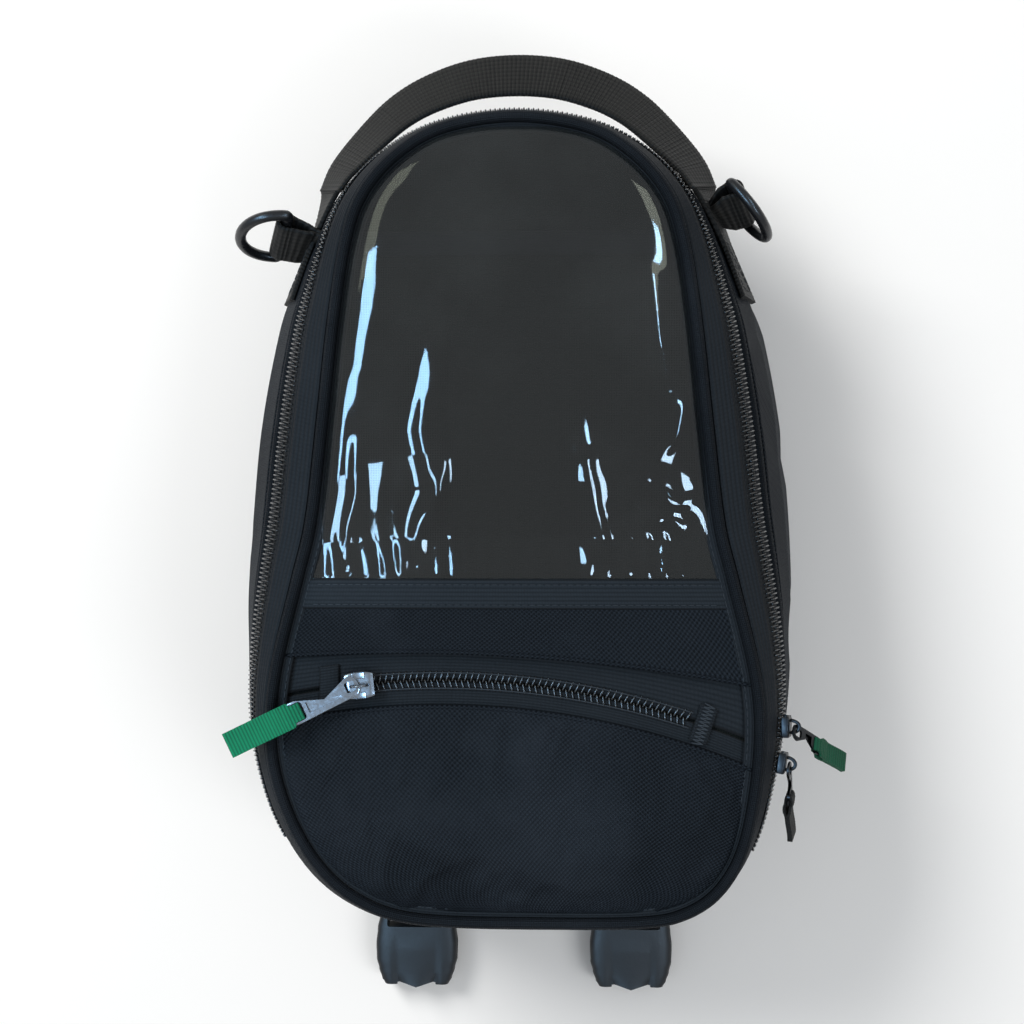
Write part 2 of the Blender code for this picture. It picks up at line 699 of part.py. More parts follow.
def pull_strap(name, far, hole, length, width, look, hinge, turn):
    """A doubled strap gathered through the pull's big eye, lying along local +Y and sewn flat beyond it."""
    half = PULL_THICK / 2 + GAP
    thick = PULL_STRAP_THICK
    neck = hole * 1.1
    back = far - hole * 0.1
    edge = far + hole + PULL_END + GAP
    start = edge + PULL_THICK
    wide = start + STRAP_SPREAD
    outer = [
        (back - thick, -half, neck), (back, -half - thick, neck), (edge, -half - thick, neck),
        (wide, -thick, width), (start + length, -thick, width), (start + length, thick, width),
        (wide, thick, width), (edge, half + thick, neck), (back, half + thick, neck),
        (back - thick, half, neck),
    ]  # fmt: skip
    inner = [
        (back, -half, neck), (back + GAP, -half, neck), (edge - GAP, -half, neck), (edge, -half, neck),
        (edge + GAP, -GAP, neck), (edge + GAP, GAP, neck), (edge, half, neck), (edge - GAP, half, neck),
        (back + GAP, half, neck), (back, half, neck),
    ]  # fmt: skip
    bm = bmesh.new()
    loops = []
    for shape, side in ((outer, -0.5), (outer, 0.5), (inner, 0.5), (inner, -0.5)):
        loops.append([Vector((side * across, y, z)) for y, z, across in shape])
    loft(bm, loops, closed=True)
    bmesh.ops.triangulate(bm, faces=bm.faces)
    place(bm, hinge, turn)
    add(name, bm, look, pivot=hinge, smooth=False)


def build_slider(name, middle, travel, up, pull, size, metal, strap_look):
    """A slider, its pull tab and the pull's strap. pull is (direction, slope above the slider,
    tab length, tab width, strap length)."""
    scale, slide_pivot = size
    frame = upright(travel, up)
    normal = frame @ Vector((0, 0, 1))
    length, width, height = (v * scale for v in (SLIDER_LENGTH, SLIDER_WIDTH, SLIDER_HEIGHT))
    slider_body(name, length, width, height, metal, middle, frame, slide_pivot)
    direction, lift, tab_length, tab_width, strap_length = pull
    leg_height = height + PULL_THICK / 2 + 2 * GAP + (PULL_EYE + PULL_RIM) * lift
    leg = frame @ Vector((0, -length * ARCH_HALF, leg_height)) + Vector(middle)
    flat = Vector(direction) - normal * normal.dot(Vector(direction))
    turn = upright(flat.normalized() + normal * lift, normal)
    far, hole = pull_tab(f"{name}_pull", tab_length, tab_width, metal, leg, turn)
    pull_strap(f"{name}_strap", far, hole, strap_length, tab_width * 1.1, strap_look, leg, turn)


def nearest(line, y, side):
    """The number of the outline's point on one side that is closest to this y."""
    picks = [i for i in range(AROUND) if line[i].x * side > 0.02]
    return min(picks, key=lambda i: abs(line[i].y - y))


def on_shoulder(z, y, side, proud=0.0):
    """A point on the side at this height and y, and the outward normal of the sloping skin there."""
    low, high = (ring(shoulder(h), 0.0, h) for h in (z - 0.002, z + 0.002))
    here = ring(shoulder(z), 0.0, z)
    i = nearest(here, y, side)
    j = i + 1 if (here[i].y - y) * (here[(i + 1) % AROUND].y - y) <= 0 else i - 1
    share = (y - here[i].y) / (here[j % AROUND].y - here[i].y)
    point = here[i].lerp(here[j % AROUND], share)
    along = (here[(i + 1) % AROUND] - here[i - 1]).normalized()
    across = high[i] - low[i]
    normal = along.cross(across).normalized()
    if normal.x * side < 0:
        normal.negate()
    if along.y < 0:
        along.negate()
    return point + normal * proud, along, normal


def build_main_sliders(zip_low):
    """Two sliders parked at the right-hand end of the zip, which runs round the handle end."""
    z = zip_low + 2 * (GAP + ZIP_ROW)
    for letter, y, pull, strap_look in (
        ("a", SLIDER_A_AT, ((0.80, -0.42, -0.48), 0.50, 0.0165, 0.0072, 0.0150), strap_green),
        ("b", SLIDER_B_AT, ((0.36, -0.92, -0.30), 0.10, 0.0165, 0.0072, 0.0150), strap_black),
    ):
        middle, along, normal = on_shoulder(z, y, 1, SLIDER_CLEAR)
        travel = Vector((0, 1, 0)) if letter == "a" else along
        name = f"main_slider_{letter}"
        build_slider(name, middle, travel, normal, pull, (MAIN_SLIDER_SCALE, middle), dark_metal, strap_look)


def build_pocket_slider(coil_top):
    middle = zip_arc(arc_angle(SLIDER_AT))
    middle.z = coil_top + GAP
    centre = Vector((ZIP_ARC_X, ZIP_ARC_Y - ZIP_ARC_RADIUS, middle.z))
    radial = middle - centre
    travel = Vector((radial.y, -radial.x, 0.0))
    pull = ((-0.90, -0.435, 0.0), 0.04, 0.0280, 0.0094, 0.0260)
    build_slider("pocket_slider", middle, travel, (0, 0, 1), pull, (1.0, centre), bright_metal, strap_green)


def build_handle():
    """The carry handle: a strap from one side round the handle end to the other, and its sewn ends."""
    span = on_wall(HANDLE_START, HANDLE_LOW, 1, 0.0).x + HANDLE_PROUD
    half = [(span, HANDLE_START, 0.0), (span - 0.005, 0.148, 0.0)]
    for share, y in ((0.8037, 0.1620), (0.6503, 0.1745), (0.4724, 0.1835), (0.2454, 0.1900)):
        half.append((span * share, y, 0.0))
    half.append((0.0, HANDLE_REACH, 0.0))
    ahead = (span + 0.004, HANDLE_START - 0.010, 0.0)
    path = [ahead, *half, *[(-x, y, z) for x, y, z in reversed(half[:-1])], (-ahead[0], ahead[1], 0.0)]
    line = spaced(through(path), 36)
    edges = []
    for i, point in enumerate(line):
        before = line[max(i - 1, 0)]
        after = line[min(i + 1, len(line) - 1)]
        along = (after - before).normalized()
        inward = Vector((along.y, -along.x, 0.0))
        if inward.dot(Vector((0, 0.11, 0)) - point) < 0:
            inward.negate()
        share = abs(math.sin(math.pi * i / 36)) ** 0.6
        lean = math.asin(HANDLE_LEAN * share + HANDLE_END_LEAN * (1 - share))
        low = Vector((point.x, point.y, HANDLE_LOW))
        low += inward * (HANDLE_COVER - WEBBING_WIDTH) * math.sin(lean)
        high = low + inward * WEBBING_WIDTH * math.sin(lean) + Vector((0, 0, WEBBING_WIDTH * math.cos(lean)))
        edges.append((low, high))
    hinge = Vector((0.0, HANDLE_HINGE_Y, HANDLE_HINGE_Z))
    ribbon("carry_handle", edges, WEBBING_THICK, strap_black, pivot=hinge)


def on_wall(y, z, side, proud):
    point, _, normal = on_shoulder(z, y, side)
    return point + normal * proud


def build_side_patches():
    for side, label in ((-1, "left"), (1, "right")):
        edges = []
        for i in range(7):
            y = PATCH_END + (PATCH_START - PATCH_END) * i / 6
            edges.append(tuple(on_wall(y, z, side, PATCH_CLEAR) for z in (PATCH_LOW, PATCH_HIGH)))
        if side > 0:
            edges = [(b, a) for a, b in edges]
        ribbon(f"handle_patch_{label}", edges, -WEBBING_THICK, strap_black)


def d_ring(name, bar_middle, bar_along, outwards, look):
    """A D-shaped ring whose straight bar runs along bar_along and whose bow reaches outwards."""
    bar = Vector(bar_along).normalized()
    out = (Vector(outwards) - bar * bar.dot(Vector(outwards))).normalized()
    half = RING_BAR / 2 + RING_ROD
    points = []
    for i in range(5):
        points.append((-half + RING_ROD + (2 * half - 2 * RING_ROD) * i / 4, 0.0))
    for i in range(13):
        angle = math.pi * i / 12
        points.append((half * math.cos(angle), RING_ROD * 0.8 + RING_REACH * math.sin(angle) ** 0.9))
    line = [bar_middle + bar * a + out * b for a, b in points]
    add(name, pipe(line, RING_ROD, 8, closed=True), look, pivot=bar_middle)


def bow(radius, start, end, count):
    """Points on part of a circle, from one angle in degrees to another."""
    turns = [math.radians(start + (end - start) * i / (count - 1)) for i in range(count)]
    return [(radius * math.cos(t), radius * math.sin(t)) for t in turns]


def chape(name, bar_middle, bar_along, inwards, reach, look):
    """A short strap folded round the ring's bar and sewn together behind it."""
    bar = Vector(bar_along).normalized()
    back = (Vector(inwards) - bar * bar.dot(Vector(inwards))).normalized()
    turn = axes(back, bar.cross(back), bar)
    clear = RING_ROD + GAP
    thick = CHAPE_THICK
    inner = [*bow(clear, 60, 300, 11), (clear * 1.8, 0.0)]
    outer = [*bow(clear + thick, 70, 290, 10), (reach, -thick), (reach, thick)]
    add(name, tube(outer, inner, WEBBING_WIDTH - 0.001, bar_middle, turn), look)


def build_rings():
    for side, label, y, z, bar_along, outwards in (
        (-1, "left", 0.1120, RING_HEIGHT, (0.30, 0.40, 0.87), (-1.0, -0.10, 0.10)),
        (1, "right", 0.1230, RING_HEIGHT, (-0.30, 0.40, 0.87), (0.62, -0.74, 0.30)),
    ):
        middle = on_wall(y, z, side, RING_PROUD)
        d_ring(f"d_ring_{label}", middle, bar_along, outwards, hard_plastic)
        foot = on_wall(y, z, side, 0.0)
        reach = RING_PROUD - WEBBING_THICK - CHAPE_CLEAR
        chape(f"ring_chape_{label}", middle, bar_along, foot - middle, reach, strap_black)


def buckle(name, x, look):
    """The socket half of a side-release buckle: a flat case open at the far end, slotted at both sides."""
    y = BUCKLE_Y
    z = BUCKLE_LOW + BUCKLE_HEIGHT / 2
    pivot = (x, BUCKLE_Y + BUCKLE_LENGTH - BUCKLE_BAR / 2, z)
    bm = bmesh.new()
    half = BUCKLE_WIDTH / 2
    right = [
        (0.86, 0.0), (0.97, 0.11), (1.0, 0.39), (0.98, 0.72), (0.90, 0.944), (0.84, 1.0),
    ]  # fmt: skip
    outline = [(half * across, BUCKLE_LENGTH * along) for across, along in right]
    outline += [(-px, py) for px, py in reversed(outline)]
    waist = BUCKLE_LENGTH / 2
    thick = BUCKLE_HEIGHT / 2
    loops = []
    for height, shrink in ((-thick, 0.93), (-thick * 0.7, 1.0), (thick * 0.7, 1.0), (thick, 0.93)):
        short = shrink * 0.5 + 0.5
        loops.append([Vector((px * shrink, (py - waist) * short + waist, height)) for px, py in outline])
    rows = loft(bm, loops)
    bm.faces.new(list(reversed(rows[0])))
    bm.faces.new(rows[-1])
    bmesh.ops.triangulate(bm, faces=[f for f in bm.faces if len(f.verts) > 4])
    place(bm, (x, y, z))
    case = add(name, bm, look, pivot=pivot)
    wall = BUCKLE_WALL
    bar_front = BUCKLE_LENGTH - BUCKLE_BAR
    room = BUCKLE_HEIGHT - 2 * wall
    slot_width = WEBBING_WIDTH + STRAP_ROOM
    slot = (slot_width, BUCKLE_SLOT, BUCKLE_HEIGHT + 0.01)
    depth = bar_front - BUCKLE_SLOT - wall
    over = (slot_width, BUCKLE_BAR + 0.01, BUCKLE_HEIGHT)
    over_y = bar_front + over[1] / 2 - 0.0005
    over_z = (BUCKLE_BAR_HEIGHT + BUCKLE_HEIGHT) / 2
    window, window_y = BUCKLE_WINDOW
    cutters = (
        ("mouth", (BUCKLE_WIDTH - 2 * wall - BUCKLE_RAIL, depth + 0.002, room), (0, depth / 2 - 0.001, 0)),
        ("sides", (BUCKLE_WIDTH + 0.01, window, room), (0, window_y, 0)),
        ("slot", slot, (0, bar_front - BUCKLE_SLOT / 2, 0)),
        ("over", over, (0, over_y, over_z)),
        ("under", over, (0, over_y, -over_z)),
    )
    for label, size, at in cutters:
        hole = bmesh.new()
        bmesh.ops.create_cube(hole, size=1.0)
        bmesh.ops.scale(hole, verts=hole.verts, vec=size)
        place(hole, Vector((x, y, z)) + Vector(at))
        cut(case, add(f"{name}_{label}", hole, look, pivot=pivot, smooth=False))


def build_buckles():
    for side, label in ((-1, "left"), (1, "right")):
        x = side * BUCKLE_SPACING / 2
        buckle(f"buckle_{label}", x, hard_plastic)
        z = BUCKLE_LOW + BUCKLE_HEIGHT / 2
        bar_y = BUCKLE_Y + BUCKLE_LENGTH - BUCKLE_BAR / 2
        thick = CHAPE_THICK
        clear = (math.hypot(BUCKLE_BAR, BUCKLE_BAR_HEIGHT) / 2 + GAP) / math.cos(math.pi / 8)
        reach = -TUB_LENGTH / 2 + STRAP_TUCK - bar_y
        inner = bow(clear, 22.5, 337.5, 8)
        outer = [*bow(clear + thick, 75, 285, 8), (reach, -thick), (reach, thick)]
        bm = bmesh.new()
        width = WEBBING_WIDTH - 0.001
        rows = loft(bm, [[Vector((w, a, b)) for a, b in outer] for w in (-width / 2, width / 2)])
        bm.faces.new(list(reversed(rows[0])))
        bm.faces.new(rows[-1])
        bmesh.ops.triangulate(bm, faces=[f for f in bm.faces if len(f.verts) > 4])
        place(bm, (x, bar_y, z))
        strap = add(f"buckle_strap_{label}", bm, strap_black, smooth=False)
        hole = bmesh.new()
        rows = loft(hole, [[Vector((w, a, b)) for a, b in inner] for w in (-width, width)])
        hole.faces.new(list(reversed(rows[0])))
        hole.faces.new(rows[-1])
        place(hole, (x, bar_y, z))
        cut(strap, add(f"buckle_strap_{label}_eye", hole, strap_black, smooth=False))


def build_lid_hinge(zip_low):
    """The strip of cloth that joins the lid to the tub between the two ends of the zip."""
    low = zip_low + GAP
    high = low + 4 * (GAP + ZIP_ROW) - GAP
    first = round(HALF_POINTS * ZIP_END) + 1
    section = skin(low, high, CLOTH_THICK)
    run("lid_hinge_cloth", section, shell_cloth, first, AROUND - first)


def build():
    zip_low = build_tub()
    build_zip(zip_low)
    build_lid_hinge(zip_low)
    back_top = build_lid()
    band_low = build_window(back_top)
    coil_top = build_pocket(back_top, band_low)
    build_pocket_slider(coil_top)
    build_main_sliders(zip_low)
    build_handle()
    build_side_patches()
    build_rings()
    build_buckles()


for old in list(bpy.data.objects):
    bpy.data.objects.remove(old, do_unlink=True)
build()
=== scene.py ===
import math

import bmesh
import bpy
from mathutils import Matrix, Vector, noise


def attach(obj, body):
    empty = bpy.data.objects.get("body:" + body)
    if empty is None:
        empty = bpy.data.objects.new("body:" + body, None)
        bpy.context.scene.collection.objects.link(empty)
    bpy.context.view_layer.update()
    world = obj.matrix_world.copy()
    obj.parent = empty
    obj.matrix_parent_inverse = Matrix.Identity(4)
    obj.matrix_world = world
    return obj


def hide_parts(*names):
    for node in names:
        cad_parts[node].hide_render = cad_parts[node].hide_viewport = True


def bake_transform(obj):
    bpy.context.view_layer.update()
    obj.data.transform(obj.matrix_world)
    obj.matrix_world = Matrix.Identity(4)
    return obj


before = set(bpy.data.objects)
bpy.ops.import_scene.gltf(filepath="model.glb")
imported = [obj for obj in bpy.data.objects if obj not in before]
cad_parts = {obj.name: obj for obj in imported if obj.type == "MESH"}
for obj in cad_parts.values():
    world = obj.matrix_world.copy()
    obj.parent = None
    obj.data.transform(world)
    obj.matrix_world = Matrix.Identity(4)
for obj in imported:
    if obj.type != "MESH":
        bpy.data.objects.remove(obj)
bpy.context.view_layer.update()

# ---- camera, floor and lights

studio = {
    "cameraAt": (0.031, 0.003, 0.7585),
    "lookAt": (-0.0006, 0.0030, 0.1045),
    "lens": 58.2,
    "floorColour": (0.93, 0.93, 0.925),
    "worldColour": (0.96, 0.98, 1.0),
    "worldStrength": 0.46,
    # name, place, aimed at, width, height, watts, colour, whether its reflection shows
    "lights": (
        ("keySoftbox", (-1.05, 0.95, 1.25), (0.0, 0.0, 0.05), 0.70, 0.90, 30.0, (1.0, 0.99, 0.97), False),
        ("fillPanel", (1.15, -0.85, 1.30), (0.0, 0.0, 0.0), 1.00, 0.80, 9.0, (1.0, 1.0, 1.0), False),
        ("leftCurtain", (-0.98, 0.88, 1.25), (0.0, 0.0, 0.05), 0.34, 0.90, 1.6, (0.93, 1.0, 0.80), True),
        ("rightCurtain", (0.86, 0.70, 1.25), (0.0, 0.0, 0.05), 0.26, 0.60, 1.2, (0.93, 1.0, 0.84), True),
        ("leftWindow", (-0.62, 0.12, 0.92), (0.0, 0.0, 0.10), 0.15, 0.50, 6.0, (0.36, 0.66, 1.0), True),
        ("lowWindow", (-0.44, -0.27, 0.95), (0.0, 0.0, 0.10), 0.17, 0.34, 4.2, (0.42, 0.70, 1.0), True),
        ("rightWindow", (0.60, 0.30, 0.95), (0.0, 0.0, 0.10), 0.08, 0.34, 2.4, (0.42, 0.70, 1.0), True),
        ("lowRightWindow", (0.47, -0.27, 0.95), (0.0, 0.0, 0.10), 0.15, 0.30, 3.2, (0.55, 0.76, 1.0), True),
    ),
}


def aim(thing, target):  # looks at the target with +Y kept up in its view
    back = (thing.location - Vector(target)).normalized()
    right = Vector((0.0, 1.0, 0.0)).cross(back).normalized()
    thing.rotation_euler = Matrix((right, back.cross(right), back)).transposed().to_euler()


def buildStudio():
    scene = bpy.context.scene
    camera = bpy.data.objects.new("camera", bpy.data.cameras.new("camera"))
    scene.collection.objects.link(camera)
    camera.data.lens = studio["lens"]
    camera.data.sensor_width = 36.0
    camera.data.clip_start = 0.01
    camera.location = studio["cameraAt"]
    aim(camera, studio["lookAt"])
    scene.camera = camera
    scene.view_settings.view_transform = "Standard"
    for name, place, target, width, height, watts, colour, shows in studio["lights"]:
        light = bpy.data.lights.new(name, "AREA")
        light.shape = "RECTANGLE"
        light.size, light.size_y = width, height
        light.energy = watts
        light.color = colour
        lamp = bpy.data.objects.new(name, light)
        lamp.location = place
        lamp.visible_glossy = shows
        lamp.visible_diffuse = not shows
        scene.collection.objects.link(lamp)
        aim(lamp, target)
    world = bpy.data.worlds.new("studioAir")
    world.use_nodes = True
    sky = world.node_tree.nodes["Background"]
    sky.inputs["Color"].default_value = (*studio["worldColour"], 1.0)
    sky.inputs["Strength"].default_value = studio["worldStrength"]
    scene.world = world

    bm = bmesh.new()
    bmesh.ops.create_grid(bm, x_segments=1, y_segments=1, size=3.0)
    mesh = bpy.data.meshes.new("floor")
    bm.to_mesh(mesh)
    bm.free()
    floor = bpy.data.objects.new("floor", mesh)
    scene.collection.objects.link(floor)
    look = bpy.data.materials.new("floorPaper")
    look.use_nodes = True
    shader = look.node_tree.nodes["Principled BSDF"]
    shader.inputs["Base Color"].default_value = (*studio["floorColour"], 1.0)
    shader.inputs["Roughness"].default_value = 0.9
    mesh.materials.append(look)


buildStudio()
print("studio ready")

# ---- shared node groups


def newGroup(name, inputs, outputs):
    group = bpy.data.node_groups.new(name, "ShaderNodeTree")
    for label, kind, value in inputs:
        socket = group.interface.new_socket(label, in_out="INPUT", socket_type=kind)
        if value is not None:
            socket.default_value = value
    for label, kind in outputs:
        group.interface.new_socket(label, in_out="OUTPUT", socket_type=kind)
    return group, group.nodes.new("NodeGroupInput"), group.nodes.new("NodeGroupOutput")


def maths(tree, operation, a, b=None, clamp=False):
    node = tree.nodes.new("ShaderNodeMath")
    node.operation = operation
    node.use_clamp = clamp
    for socket, value in ((node.inputs[0], a), (node.inputs[1], b)):
        if isinstance(value, (int, float)):
            socket.default_value = value
        elif value is not None:
            tree.links.new(value, socket)
    return node.outputs[0]


def noiseOf(tree, vector, scale, detail=2.0, roughness=0.5):
    node = tree.nodes.new("ShaderNodeTexNoise")
    node.inputs["Scale"].default_value = scale
    node.inputs["Detail"].default_value = detail
    node.inputs["Roughness"].default_value = roughness
    tree.links.new(vector, node.inputs["Vector"])
    return node.outputs["Fac"]


def buildWeaveGroup():  # over-and-under threads: bumps in a checker, finer yarn along each thread
    group, source, sink = newGroup(
        "threadWeave",
        (
            ("Vector", "NodeSocketVector", None), ("Pitch", "NodeSocketFloat", 0.0009),
            ("Yarn", "NodeSocketFloat", 0.3)
        ),
        (("Height", "NodeSocketFloat"), ("Thread", "NodeSocketFloat")),
    )
    split = group.nodes.new("ShaderNodeSeparateXYZ")
    group.links.new(source.outputs["Vector"], split.inputs[0])
    turn = maths(group, "DIVIDE", 2 * math.pi, source.outputs["Pitch"])
    across = maths(group, "SINE", maths(group, "MULTIPLY", split.outputs["X"], turn))
    along = maths(group, "SINE", maths(group, "MULTIPLY", split.outputs["Y"], turn))
    checker = maths(group, "MULTIPLY", across, along)
    bumps = maths(group, "ADD", maths(group, "MULTIPLY", checker, 0.5), 0.5)
    fine = noiseOf(group, source.outputs["Vector"], 4200.0, 1.0)
    yarn = maths(group, "MULTIPLY", fine, source.outputs["Yarn"])
    group.links.new(maths(group, "ADD", bumps, yarn), sink.inputs["Height"])
    # the Thread mask also places the looks' painted highlight on the yarn tops and painted shade in the gaps
    # between them
    group.links.new(bumps, sink.inputs["Thread"])
    return group


def buildRibGroup():  # ribs across a strap or tape, with the warp threads between its edges
    group, source, sink = newGroup(
        "ribbedStrap",
        (
            ("Vector", "NodeSocketVector", None), ("Rib Pitch", "NodeSocketFloat", 0.0015),
            ("Warp Pitch", "NodeSocketFloat", 0.0008)
        ),
        (("Height", "NodeSocketFloat"), ("Rib", "NodeSocketFloat")),
    )
    split = group.nodes.new("ShaderNodeSeparateXYZ")
    group.links.new(source.outputs["Vector"], split.inputs[0])
    ribTurn = maths(group, "DIVIDE", math.pi, source.outputs["Rib Pitch"])
    rib = maths(
        group, "ABSOLUTE", maths(group, "SINE", maths(group, "MULTIPLY", split.outputs["Y"], ribTurn))
    )
    warpTurn = maths(group, "DIVIDE", math.pi, source.outputs["Warp Pitch"])
    warp = maths(
        group, "ABSOLUTE", maths(group, "SINE", maths(group, "MULTIPLY", split.outputs["X"], warpTurn))
    )
    both = maths(group, "ADD", maths(group, "MULTIPLY", rib, 0.7), maths(group, "MULTIPLY", warp, 0.3))
    group.links.new(both, sink.inputs["Height"])
    # the Rib mask also places the strap looks' painted highlight on the rib crests and painted shade between
    # the ribs
    group.links.new(
        maths(group, "MULTIPLY", rib, maths(group, "ADD", maths(group, "MULTIPLY", warp, 0.5), 0.5)),
        sink.inputs["Rib"]
    )
    return group


def buildWearGroup():  # slow patches of dust and rubbing, with a fine speckle over them
    group, source, sink = newGroup(
        "dustAndWear",
        (("Vector", "NodeSocketVector", None), ("Amount", "NodeSocketFloat", 0.5)),
        (("Mask", "NodeSocketFloat"), ("Speckle", "NodeSocketFloat")),
    )
    patches = noiseOf(group, source.outputs["Vector"], 14.0, 4.0, 0.6)
    centred = maths(group, "MULTIPLY", maths(group, "SUBTRACT", patches, 0.45), 3.0, clamp=True)
    group.links.new(
        maths(group, "MULTIPLY", centred, source.outputs["Amount"], clamp=True), sink.inputs["Mask"]
    )
    speckle = noiseOf(group, source.outputs["Vector"], 900.0, 2.0, 0.7)
    group.links.new(speckle, sink.inputs["Speckle"])
    return group


weaveGroup = buildWeaveGroup()
ribGroup = buildRibGroup()
wearGroup = buildWearGroup()


def placed(tree, group, vector, **values):
    node = tree.nodes.new("ShaderNodeGroup")
    node.node_tree = group
    tree.links.new(vector, node.inputs["Vector"])
    for label, value in values.items():
        node.inputs[label.replace("_", " ")].default_value = value
    return node


def mixed(tree, share, low, high):
    node = tree.nodes.new("ShaderNodeMix")
    node.data_type = "RGBA"
    for socket, value in ((node.inputs[6], low), (node.inputs[7], high)):
        if isinstance(value, tuple):
            socket.default_value = (*value, 1.0)
        else:
            tree.links.new(value, socket)
    tree.links.new(share, node.inputs[0])
    return node.outputs[2]


def ranged(tree, value, low, high):
    node = tree.nodes.new("ShaderNodeMapRange")
    tree.links.new(value, node.inputs["Value"])
    node.inputs["To Min"].default_value = low
    node.inputs["To Max"].default_value = high
    return node.outputs["Result"]


def newLook(name, usesUv, turned=0.0):
    look = bpy.data.materials.new(name)
    look.use_nodes = True
    tree = look.node_tree
    shader = tree.nodes["Principled BSDF"]
    place = tree.nodes.new("ShaderNodeTexCoord")
    vector = place.outputs["UV" if usesUv else "Object"]
    if turned:
        mapping = tree.nodes.new("ShaderNodeMapping")
        mapping.inputs["Rotation"].default_value = (0.0, 0.0, math.radians(turned))
        tree.links.new(vector, mapping.inputs["Vector"])
        vector = mapping.outputs["Vector"]
    return look, tree, shader, vector, place.outputs["Object"]


def bumped(tree, shader, height, strength, distance):
    bump = tree.nodes.new("ShaderNodeBump")
    bump.inputs["Strength"].default_value = strength
    bump.inputs["Distance"].default_value = distance
    tree.links.new(height, bump.inputs["Height"])
    tree.links.new(bump.outputs["Normal"], shader.inputs["Normal"])


def clothLook(name, hollowShade, light, pitch, depth, roughness, turned=45.0, sheen=0.02, usesUv=True):
    look, tree, shader, vector, solid = newLook(name, usesUv, turned)
    weave = placed(tree, weaveGroup, vector, Pitch=pitch, Yarn=0.3)
    wear = placed(tree, wearGroup, solid, Amount=0.8)
    # painted light: the first colour is painted shade in the gaps between yarns, the second a painted highlight
    # on the yarn tops, laid out by the weave's height
    yarnLightAndShade = mixed(tree, weave.outputs["Thread"], hollowShade, light)
    dusty = mixed(tree, wear.outputs["Mask"], yarnLightAndShade, tuple(c * 1.25 + 0.002 for c in light))
    tree.links.new(dusty, shader.inputs["Base Color"])
    tree.links.new(
        ranged(tree, wear.outputs["Speckle"], roughness - 0.12, roughness + 0.08), shader.inputs["Roughness"]
    )
    shader.inputs["Specular IOR Level"].default_value = 0.10
    shader.inputs["Sheen Weight"].default_value = sheen
    shader.inputs["Sheen Roughness"].default_value = 0.4
    shader.inputs["Sheen Tint"].default_value = (0.50, 0.65, 0.85, 1.0)
    bumped(tree, shader, weave.outputs["Height"], depth, 0.0004)
    return look


def strapLook(name, hollowShade, light, ribPitch, warpPitch, depth, roughness, sheen=0.03, usesUv=True):
    look, tree, shader, vector, solid = newLook(name, usesUv)
    ribs = placed(tree, ribGroup, vector, Rib_Pitch=ribPitch, Warp_Pitch=warpPitch)
    wear = placed(tree, wearGroup, solid, Amount=0.6)
    # painted light: the first colour is painted shade between the ribs, the second a painted highlight on the
    # rib crests
    yarnLightAndShade = mixed(tree, ribs.outputs["Rib"], hollowShade, light)
    dusty = mixed(tree, wear.outputs["Mask"], yarnLightAndShade, tuple(c * 1.2 + 0.001 for c in light))
    tree.links.new(dusty, shader.inputs["Base Color"])
    tree.links.new(
        ranged(tree, wear.outputs["Speckle"], roughness - 0.1, roughness + 0.1), shader.inputs["Roughness"]
    )
    shader.inputs["Specular IOR Level"].default_value = 0.22
    shader.inputs["Sheen Weight"].default_value = sheen
    bumped(tree, shader, ribs.outputs["Height"], depth, 0.0003)
    return look


def mouldedLook(name, colour, roughness, grain, coat=0.0):
    look, tree, shader, vector, _ = newLook(name, False)
    wear = placed(tree, wearGroup, vector, Amount=0.7)
    tree.links.new(
        mixed(tree, wear.outputs["Mask"], colour, tuple(c * 1.5 + 0.004 for c in colour)),
        shader.inputs["Base Color"]
    )
    tree.links.new(
        ranged(tree, wear.outputs["Speckle"], roughness - 0.07, roughness + 0.1), shader.inputs["Roughness"]
    )
    shader.inputs["Coat Weight"].default_value = coat
    shader.inputs["Coat Roughness"].default_value = 0.25
    bumped(tree, shader, wear.outputs["Speckle"], grain, 0.0002)
    return look


def metalLook(name, colour, roughness, scratch):
    look, tree, shader, vector, _ = newLook(name, False)
    wear = placed(tree, wearGroup, vector, Amount=0.9)
    worn = tuple(c * 0.55 for c in colour)
    tree.links.new(mixed(tree, wear.outputs["Mask"], colour, worn), shader.inputs["Base Color"])
    tree.links.new(
        ranged(tree, wear.outputs["Speckle"], roughness - 0.08, roughness + 0.15), shader.inputs["Roughness"]
    )
    shader.inputs["Metallic"].default_value = 1.0
    bumped(tree, shader, wear.outputs["Speckle"], scratch, 0.0001)
    return look


def clearLook(name):
    look, tree, shader, vector, _ = newLook(name, False)
    haze = placed(tree, wearGroup, vector, Amount=0.8)
    tree.links.new(
        mixed(tree, haze.outputs["Mask"], (0.012, 0.015, 0.016), (0.030, 0.036, 0.038)),
        shader.inputs["Base Color"]
    )
    tree.links.new(ranged(tree, haze.outputs["Mask"], 0.035, 0.085), shader.inputs["Roughness"])
    shader.inputs["Alpha"].default_value = 0.42
    shader.inputs["IOR"].default_value = 1.55
    shader.inputs["Specular IOR Level"].default_value = 0.9
    fine = noiseOf(tree, vector, 60.0, 2.0)
    bumped(tree, shader, fine, 0.05, 0.002)
    return look
